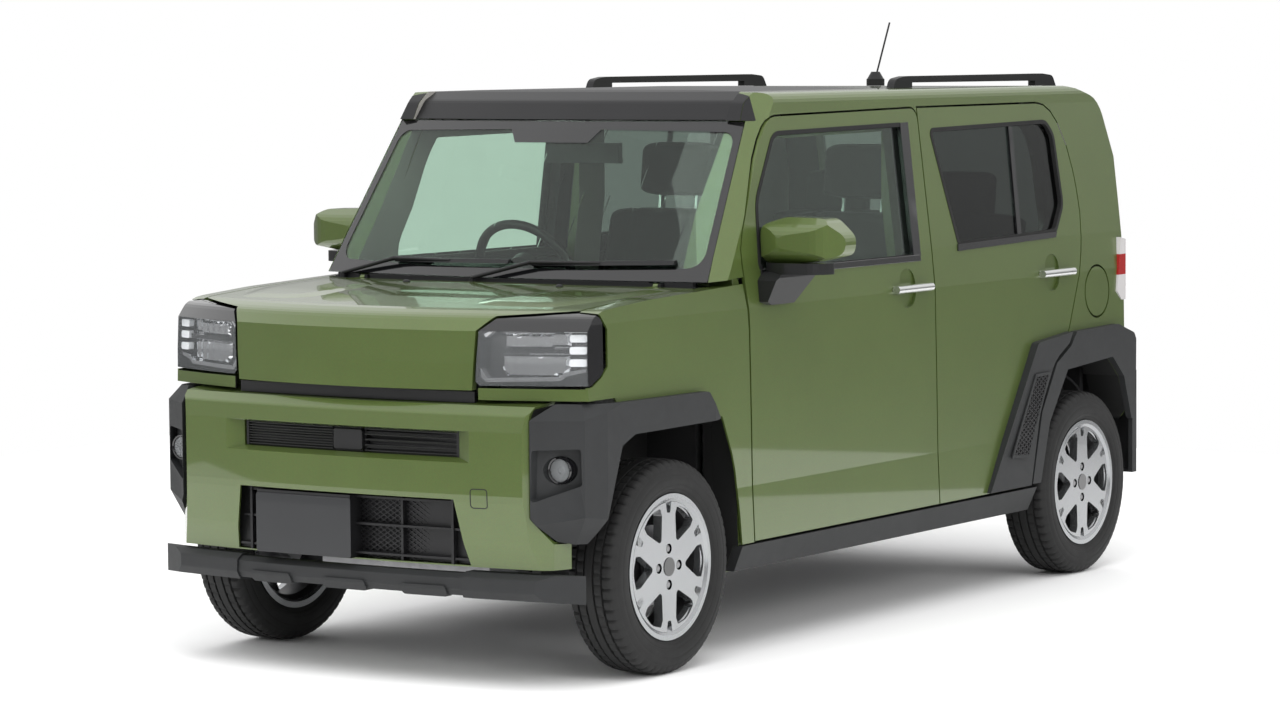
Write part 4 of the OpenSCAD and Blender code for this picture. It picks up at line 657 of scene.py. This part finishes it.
# Headlamps: the parts seen through the cover, at a depth behind the nose's surface
LAMP_PARTS = [
    ("back", [(0.424, 0.838), (0.438, 0.828), (0.700, 0.830), (0.700, 0.975), (0.670, 1.008),
              (0.462, 0.992), (0.430, 0.962)],
     -0.046, -0.050, "gloss"),
    ("bezel", [(0.4205, 0.967), (0.456, 0.9995), (0.676, 1.0165), (0.690, 1.004), (0.640, 1.0055),
               (0.457, 0.986), (0.428, 0.960)],
     -0.004, -0.030, "gloss"),
    ("band", [(0.428, 0.959), (0.457, 0.985), (0.640, 1.0045), (0.640, 0.9945), (0.461, 0.974),
              (0.434, 0.950)],
     -0.010, -0.030, "chrome"),
    ("wedge", [(0.642, 1.0045), (0.688, 1.0005), (0.701, 0.990), (0.703, 0.966), (0.642, 0.966)], -0.012,
     -0.030, "white"),
    ("divider", [(0.472, 0.920), (0.650, 0.922), (0.650, 0.910), (0.467, 0.908)], -0.012, -0.036,
     "gloss"),
    ("bracket", [(0.422, 0.868), (0.440, 0.842), (0.635, 0.847), (0.650, 0.860), (0.703, 0.869),
                 (0.703, 0.861),
                 (0.653, 0.849), (0.638, 0.837), (0.437, 0.831), (0.423, 0.844)], -0.008, -0.028,
     "chrome"),
]
for k, z0 in enumerate((0.875, 0.908, 0.940)):
    LAMP_PARTS.append(("bar_%d" % k, box_outline(0.659, z0, 0.703, z0 + 0.020, 0.006), -0.010, -0.030,
                       "white"))
REFLECTORS = [("upper", [(0.476, 0.962), (0.652, 0.964), (0.650, 0.923), (0.475, 0.921)]),
              ("lower", rounded([(0.467, 0.907, 0.006), (0.650, 0.909), (0.649, 0.847),
                                 (0.486, 0.845, 0.02), (0.467, 0.862, 0.01)]))]


def facets(u, v, edge):
    return 0.010 * abs((u * 1000 / 29 + 0.2) % 1 - 0.5) - 0.006 * (edge < 0.004)


for side, s in SIDES:
    at = mirrored(on_nose, s)
    for part, outline, d0, d1, mat in LAMP_PARTS:
        plate("headlamp_%s_%s" % (part, side), [outline], at, d0, d1, mat, "body", cell=0.04,
              bevel=0.0012)
    for part, outline in REFLECTORS:
        plate("headlamp_%s_reflector_%s" % (part, side), [outline], at, -0.030, -0.042, "chrome", "body",
              cell=0.0055, rise=facets)

# Fog lamp: its ring, reflector and lens
FOG = (0.6535, 0.600)
for side, s in SIDES:
    y = FRONT_Y + 0.112
    revolve("fog_ring_" + side, [(0.031, 0.0), (0.032, -0.006), (0.0355, -0.008), (0.0375, -0.004),
                                 (0.0375, 0.008), (0.031, 0.008)], (s * FOG[0], y, FOG[1]), "gloss",
            "body", axis="y", seg=48)
    # The chrome reflector takes the dark metal, a painted shade inside the lamp
    revolve("fog_reflector_" + side, [(0.0, 0.006), (0.006, 0.0), (0.012, 0.0035), (0.020, 0.002),
                                      (0.027, -0.001), (0.031, -0.002), (0.031, 0.009), (0.0, 0.009)],
            (s * FOG[0], y, FOG[1]), "shade_dark_metal", "body", axis="y", seg=48)
    revolve("fog_lens_" + side, [(0.0, -0.009), (0.014, -0.008), (0.026, -0.006), (0.0312, -0.003),
                                 (0.0312, -0.001), (0.026, -0.004), (0.014, -0.006), (0.0, -0.007)],
            (s * FOG[0], y, FOG[1]), "clear", "body", axis="y", seg=48)

# Upper slot: thin fins and the block in the middle; lower opening: crossed wires
for k in range(9):
    z = 0.632 + 0.0075 * k
    for x0, x1 in ((-0.366, -0.052), (0.058, 0.366)):
        if x0 > 0 and k % 2:
            continue
        xs = [x0 + (x1 - x0) * i / 8 for i in range(9)]
        tube("slot_fin_%d_%s" % (k, "l" if x0 > 0 else "r"),
             [(x, FRONT_Y + 0.034 + x ** 2 / 8.8, z) for x in xs], 0.0022, "fin", "body", sides=6)
prism("slot_sensor", box_outline(-0.050, 0.632, 0.050, 0.690, 0.008), "y", FRONT_Y + 0.030,
      FRONT_Y + 0.050, "sensor", "body", bevel=0.003)


def clip_line(poly, p, d):
    hits = []
    for (x0, y0), (x1, y1) in zip(poly, poly[1:] + poly[:1]):
        ex, ey = x1 - x0, y1 - y0
        det = d[0] * -ey + ex * d[1]
        if abs(det) < 1e-12:
            continue
        t = ((x0 - p[0]) * -ey + ex * (y0 - p[1])) / det
        w = (d[0] * (y0 - p[1]) - d[1] * (x0 - p[0])) / det
        if 0 <= w < 1:
            hits.append(t)
    hits.sort()
    return list(zip(hits[::2], hits[1::2]))


def mesh_net(name, poly, place, pitch, wide, mat, body, depth=0.0, slopes=(0.6, -0.6),
             thick=0.003):
    verts, faces = [], []
    us = [p[0] for p in poly]
    vs = [p[1] for p in poly]
    for m in slopes:
        d = Vector((1, m)).normalized()
        span = (max(us) - min(us)) * abs(m) + max(vs) - min(vs)
        k = int(span / pitch) + 2
        for i in range(-1, k):
            v0 = (min(vs) if m < 0 else min(vs) - (max(us) - min(us)) * m) + i * pitch
            for t0, t1 in clip_line(poly, (min(us) - 0.01, v0 - 0.01 * m), d):
                if t1 - t0 < wide:
                    continue
                nrm = Vector((-d.y, d.x)) * wide / 2
                steps = max(1, math.ceil((t1 - t0) / 0.05))
                base = len(verts)
                for j in range(steps + 1):
                    q = Vector((min(us) - 0.01, v0 - 0.01 * m)) + d * (t0 + (t1 - t0) * j / steps)
                    for e, dep in ((1, 0), (-1, 0), (-1, -thick), (1, -thick)):
                        verts.append(place(q.x + e * nrm.x, q.y + e * nrm.y, depth + dep))
                for j in range(steps):
                    a = base + 4 * j
                    for e in range(4):
                        f = (e + 1) % 4
                        faces.append([a + e, a + f, a + 4 + f, a + 4 + e])
                faces.append([base + e for e in range(4)])
                faces.append([base + 4 * steps + e for e in range(4)])
    return add(name, verts, faces, mat, body)


mesh_net("lower_grille_net", [(-0.398, 0.338), (0.398, 0.338), (0.366, 0.514), (-0.366, 0.514)],
         lambda x, z, d: (x, FRONT_Y + 0.052 + x * x / 8.8 - d, z), 0.014, 0.0026, "fin", "body")
prism("front_plate_blank", box_outline(-0.301, 0.337, 0.029, 0.502, 0.008), "y", FRONT_Y + 0.0005,
      FRONT_Y + 0.0035, "dark_plate", "body", bevel=0.0012)

# Tow cover in the bumper
cover = box_outline(0.422, 0.496, 0.472, 0.546, 0.008)
plate("tow_cover_gap", [grown(cover, 0.002), grown(cover, -0.0005)], on_bumper, 0.0006, -0.001, "black",
      "body", cell=0.02)

# Dark band round the windscreen's glass, deeper at its foot and its head
SCREEN = [(-0.6715, 1.066), (0.6715, 1.066), (0.6130, 1.509), (-0.6130, 1.509)]
SCREEN_CLEAR = rounded([(-0.6430, 1.104, 0.04), (-0.3, 1.094), (0.3, 1.094), (0.6430, 1.104, 0.04),
                        (0.5950, 1.480, 0.04), (0.16, 1.486), (0.13, 1.448), (-0.13, 1.448),
                        (-0.16, 1.486), (-0.5950, 1.480, 0.04)])
plate("screen_band", [SCREEN, SCREEN_CLEAR], on_screen, 0.0010, 0.0002, "gloss", "body", cell=0.05)

# Black header carried over the tops of the pillars
def skin_of(name, node, planes, push, mat):
    bm = bmesh.new()
    bm.from_mesh(N[node].data)
    for co, no in planes:
        geom = bm.verts[:] + bm.edges[:] + bm.faces[:]
        bmesh.ops.bisect_plane(bm, geom=geom, plane_co=co, plane_no=no, clear_inner=True)
    s = planes[0][1][0]
    away = [f for f in bm.faces if f.normal.z < -0.2 or f.normal.x * s < -0.3 or f.normal.y > 0.2]
    bmesh.ops.delete(bm, geom=away, context="FACES")
    bm.normal_update()
    moved = [v.co + v.normal * push for v in bm.verts]
    bm.verts.index_update()
    faces = [[v.index for v in f.verts] for f in bm.faces]
    bm.free()
    return add(name, moved, faces, mat, "body")


for side, s in SIDES:
    skin_of("header_corner_" + side, "body_sides", [((s * 0.5597, 0, 0), (s, 0, 0)), ((0, 0, 1.512), (0,
            0, 1)), ((s * 0.5596, -0.540, 1.6), (-s * 0.27, -0.96, 0))], 0.0012, "header")

# Seals and strips round the side windows
FRONT_WINDOW = rounded([(-0.6525, 1.086, 0.025), (0.2435, 1.086, 0.015), (0.2515, 1.485, 0.03),
                        (-0.5005, 1.474, 0.06),
                        (-0.6305, 1.285, 0.12)])
REAR_WINDOW = rounded([(0.5115, 1.109, 0.02), (1.1495, 1.124, 0.04), (1.2155, 1.208, 0.06),
                       (1.2015, 1.434, 0.06),
                       (1.1575, 1.476, 0.05), (0.4075, 1.464, 0.015)])
for side, s in SIDES:
    at = mirrored(on_side, s)
    for end, win in (("front", FRONT_WINDOW), ("rear", REAR_WINDOW)):
        plate("window_seal_%s_%s" % (end, side), [grown(win, 0.007), grown(win, -0.006)], at, 0.0018,
              -0.0115, "rubber", "door_%s_%s" % (end, side), cell=0.05)
    plate("belt_strip_front_" + side, [[(-0.648, 1.071), (0.262, 1.071), (0.262, 1.090),
                                        (-0.648, 1.090)]], at, 0.0045, -0.002, "gloss",
          "door_front_" + side, cell=0.05, bevel=0.0015)
    plate("belt_strip_rear_" + side, [[(0.497, 1.090), (1.142, 1.104), (1.152, 1.122), (0.500, 1.111)]],
          at, 0.0045, -0.002, "gloss", "door_rear_" + side, cell=0.05,
          bevel=0.0015)
    plate("pillar_strip_" + side, [[(0.222, 1.086), (0.266, 1.086), (0.274, 1.492), (0.226, 1.490)]], at,
          0.0030, -0.010, "gloss", "door_front_" + side, cell=0.05, bevel=0.001)
    plate("window_bar_" + side, [[(0.905, 1.118), (0.931, 1.119), (0.944, 1.468), (0.921, 1.468)]], at,
          -0.006, -0.014, "gloss", "door_rear_" + side, cell=0.05, bevel=0.001)

# Net in the cladding behind the rear door
VENT = [(1.018, 0.674), (0.932, 0.672), (0.770, 0.429), (0.872, 0.424)]
for side, s in SIDES:
    at = mirrored(on_side, s)
    plate("vent_frame_" + side, [grown(VENT, 0.006), grown(VENT, -0.004)], at, 0.0285, 0.024, "cladding",
          "door_rear_" + side, cell=0.05, bevel=0.001)
    plate("vent_back_" + side, [grown(VENT, -0.002)], at, 0.0264, 0.024, "gloss", "door_rear_" + side,
          cell=0.05)
    mesh_net("vent_net_" + side, grown(VENT, -0.003), at, 0.016, 0.004, "fin", "door_rear_" + side,
             depth=0.0285, thick=0.002)

# Bonnet: raised fields beside the sunken middle, and the washer jets
for side, s in SIDES:
    at = mirrored(on_bonnet, s)
    plate("bonnet_field_" + side, [rounded([(0.250, -1.520, 0.1), (0.560, -1.470, 0.1),
                                            (0.625, -1.250, 0.2), (0.628, -0.960, 0.04),
                                            (0.400, -0.984, 0.06), (0.300, -1.150, 0.3)])], at, -0.0008,
          -0.004, "paint", "bonnet", cell=0.025, rise=feather(0.006, 0.05))
    revolve("washer_jet_" + side, [(0.0, 0.006), (0.005, 0.0055), (0.009, 0.003), (0.011, 0.0),
                                   (0.011, -0.004), (0.0, -0.004)], on_bonnet(s * 0.27, -1.035, 0.0015),
            "black", "bonnet", axis="z", seg=24)

# Mirrors: glass in its dark surround
MY, MZ = -0.5785, 1.160
for side, s in SIDES:
    def shift(pts):
        return [(s * (HALF_W + u), MZ + v) for u, v in pts]
    back = rounded([(-0.030, -0.040, 0.02), (0.190, -0.030, 0.03), (0.206, 0.020, 0.03),
                    (0.150, 0.066, 0.04),
                    (0.020, 0.068, 0.05), (-0.034, 0.046, 0.03)])
    prism("mirror_surround_" + side, shift(grown(back, 0.004)), "y", MY + 0.034, MY + 0.037, "black",
          "door_front_" + side, bevel=0.001)
    prism("mirror_glass_" + side, shift(grown(back, -0.006)), "y", MY + 0.036, MY + 0.0385, "mirror",
          "door_front_" + side, bevel=0.0008)

# Tyres with a ribbed side, round grooves and cross cuts at the shoulder
HALF = [(0.194, 0.052), (0.196, 0.061), (0.204, 0.067), (0.209, 0.0715), (0.214, 0.0725),
        (0.217, 0.0765), (0.226, 0.0795),
        (0.2275, 0.0792), (0.2285, 0.0805), (0.2295, 0.0808), (0.240, 0.0822), (0.250, 0.0822),
        (0.2515, 0.0815), (0.253, 0.0822),
        (0.262, 0.0806), (0.270, 0.0782), (0.2715, 0.0772), (0.273, 0.0774), (0.280, 0.0742),
        (0.287, 0.0702), (0.2920, 0.0655),
        (0.2948, 0.0590), (0.2958, 0.0510), (0.2962, 0.0450), (0.2900, 0.0440), (0.2900, 0.0385),
        (0.2968, 0.0375),
        (0.2972, 0.0180), (0.2905, 0.0172), (0.2905, 0.0120), (0.2974, 0.0112), (0.2975, 0.0)]
PROFILE = HALF + [(r, -a) for r, a in HALF[-2::-1]]


NUT_OUT, NUT_LONG, NUT_PITCH_R = 0.0645, 0.014, 0.05


def tread(i, j):
    r, a = PROFILE[i]
    if 0.0375 < abs(a) < 0.0745 and r > 0.279 and j % 5 == (0 if a > 0 else 2):
        return 0.0055 if r > 0.29 else 0.003
    if 0.012 < abs(a) < 0.038 and r > 0.2955 and j % 5 == 3:
        return 0.003
    return 0.0


for end, y, x, of in (("front", AXLE_F, TRACK_F, "wheel_front_"),
                      ("rear", AXLE_R, TRACK_R, "wheel_rear_")):
    for side, s in SIDES:
        t = revolve("tyre_tread_%s_%s" % (end, side), PROFILE, (s * x, y, HUB_Z), "rubber", of + side,
                    seg=300, angle=40, dent=tread)
        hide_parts("tyre_%s_%s" % (end, side))
        for k in range(4):
            a = math.radians(90 * k)
            seat_x = s * (x + NUT_OUT) + (0 if s > 0 else NUT_LONG)
            at = (seat_x, y + NUT_PITCH_R * math.cos(a), HUB_Z + NUT_PITCH_R * math.sin(a))
            revolve("wheel_nut_%s_%s_%d" % (end, side, k), [(0.0, 0.0), (0.0075, 0.0), (0.0098, -0.0025),
                                                            (0.0098, -NUT_LONG), (0.0, -NUT_LONG)], at,
                    "steel", of + side, seg=6, angle=20)
        tube("valve_%s_%s" % (end, side), [(s * (x + 0.040), y + 0.118, HUB_Z - 0.118), (s * (x + 0.058),
                y + 0.112, HUB_Z - 0.112), (s * (x + 0.068), y + 0.108, HUB_Z - 0.108)], 0.004, "black",
             of + side, sides=10)


def rim_rule(x, y, z, n):
    ay = AXLE_F if y < 0 else AXLE_R
    face = (TRACK_F if y < 0 else TRACK_R) + 0.05
    r = math.hypot(y - ay, z - HUB_Z)
    if r < 0.0268 and x > face:
        return 1
    # Walls of the nut recesses in gloss black: painted shade in the recesses
    if n.x < 0.5 and x > face - 0.008:
        for k in range(4):
            a = math.radians(90 * k)
            if math.hypot(y - ay - 0.05 * math.cos(a), z - HUB_Z - 0.05 * math.sin(a)) < 0.0145:
                return 1
    # The barrel inside the spokes takes the dark metal, a painted shade on the alloy
    return 2 if r < 0.18 and x < face - 0.015 else 0


for n in ("rim_front_left", "rim_front_right", "rim_rear_left", "rim_rear_right"):
    finish(n, ("alloy", "gloss", "shade_dark_metal"), rim_rule)

# Seats: crowned cushions with sewn channels, in the space of the source's seats
def cushion(name, outline, x0, x1, mat="cloth", crown=0.022, seams=(), body="body"):
    ring = rounded(outline, 15)
    dense = []
    for (u0, v0), (u1, v1) in zip(ring, ring[1:] + ring[:1]):
        k = max(1, math.ceil(math.hypot(u1 - u0, v1 - v0) / 0.03))
        dense += [(u0 + (u1 - u0) * j / k, v0 + (v1 - v0) * j / k) for j in range(k)]
    stations = 48
    verts, faces = [], []
    for i in range(stations + 1):
        t = i / stations
        w = abs(2 * t - 1)
        inset = 0.0005 + crown * (1 - math.sqrt(1 - w ** 5))
        inset += sum(0.006 * math.exp(-((t - c) / 0.014) ** 2) for c in seams)
        verts += [(x0 + (x1 - x0) * t, u, v) for u, v in grown(dense, -inset)]
    n = len(dense)
    for i in range(stations):
        for j in range(n):
            k = (j + 1) % n
            faces.append([i * n + j, i * n + k, (i + 1) * n + k, (i + 1) * n + j])
    faces.append(list(range(n))[::-1])
    faces.append([stations * n + j for j in range(n)])
    piece = add(name, verts, faces, mat, body, angle=50)
    return piece


DRIVER_X, SEAT_W = 0.345, 0.480
FLOOR_TOP, REAR_FLOOR_TOP = 0.2804, 0.4404
for side, s in SIDES:
    x0, x1 = s * DRIVER_X - SEAT_W / 2, s * DRIVER_X + SEAT_W / 2
    seat = cushion("seat_cushion_" + side, [(-0.140, 0.550, 0.03), (0.330, 0.490, 0.03), (0.360, 0.620,
            0.03), (-0.130, 0.680, 0.06)], x0, x1, seams=(0.2, 0.8))
    if s > 0:
        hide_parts("front_seats")
    cushion("seat_back_" + side, [(0.320, 0.640, 0.03), (0.440, 0.620, 0.03), (0.560, 1.190, 0.04),
                                  (0.470, 1.215, 0.04)], x0, x1, seams=(0.2, 0.8))
    cushion("headrest_" + side, [(0.478, 1.250, 0.03), (0.570, 1.240, 0.03), (0.590, 1.400, 0.04),
                                 (0.500, 1.430, 0.04)], x0 + 0.105, x1 - 0.105)
    prism("seat_base_" + side, [(-0.120, FLOOR_TOP), (0.330, FLOOR_TOP), (0.330, 0.499),
                                (-0.120, 0.558)], "x", x0 + 0.02, x1 - 0.02, "trim", "body", bevel=0.008)
    for k, x in enumerate((x0 + 0.170, x1 - 0.170)):
        tube("headrest_bar_%s_%d" % (side, k), [(x, 0.512, 1.190), (x, 0.522, 1.262)], 0.006, "chrome",
             "body")
rear = cushion("rear_cushion", [(0.760, REAR_FLOOR_TOP), (1.170, REAR_FLOOR_TOP), (1.200, 0.620, 0.03),
                                (0.740, 0.660, 0.06)], -0.480, 0.480, seams=(0.17, 0.5, 0.83))
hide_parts("rear_seat")
cushion("rear_back", [(1.150, 0.570, 0.03), (1.280, 0.550, 0.03), (1.370, 1.160, 0.03),
                      (1.290, 1.180, 0.03)], -0.480, 0.480, seams=(0.17, 0.5, 0.83))
for side, s in SIDES:
    cushion("rear_headrest_" + side, [(1.302, 1.130, 0.02), (1.362, 1.120, 0.02), (1.384, 1.300, 0.03),
                                      (1.320, 1.310, 0.03)], s * 0.240 - 0.120, s * 0.240 + 0.120,
            crown=0.018)
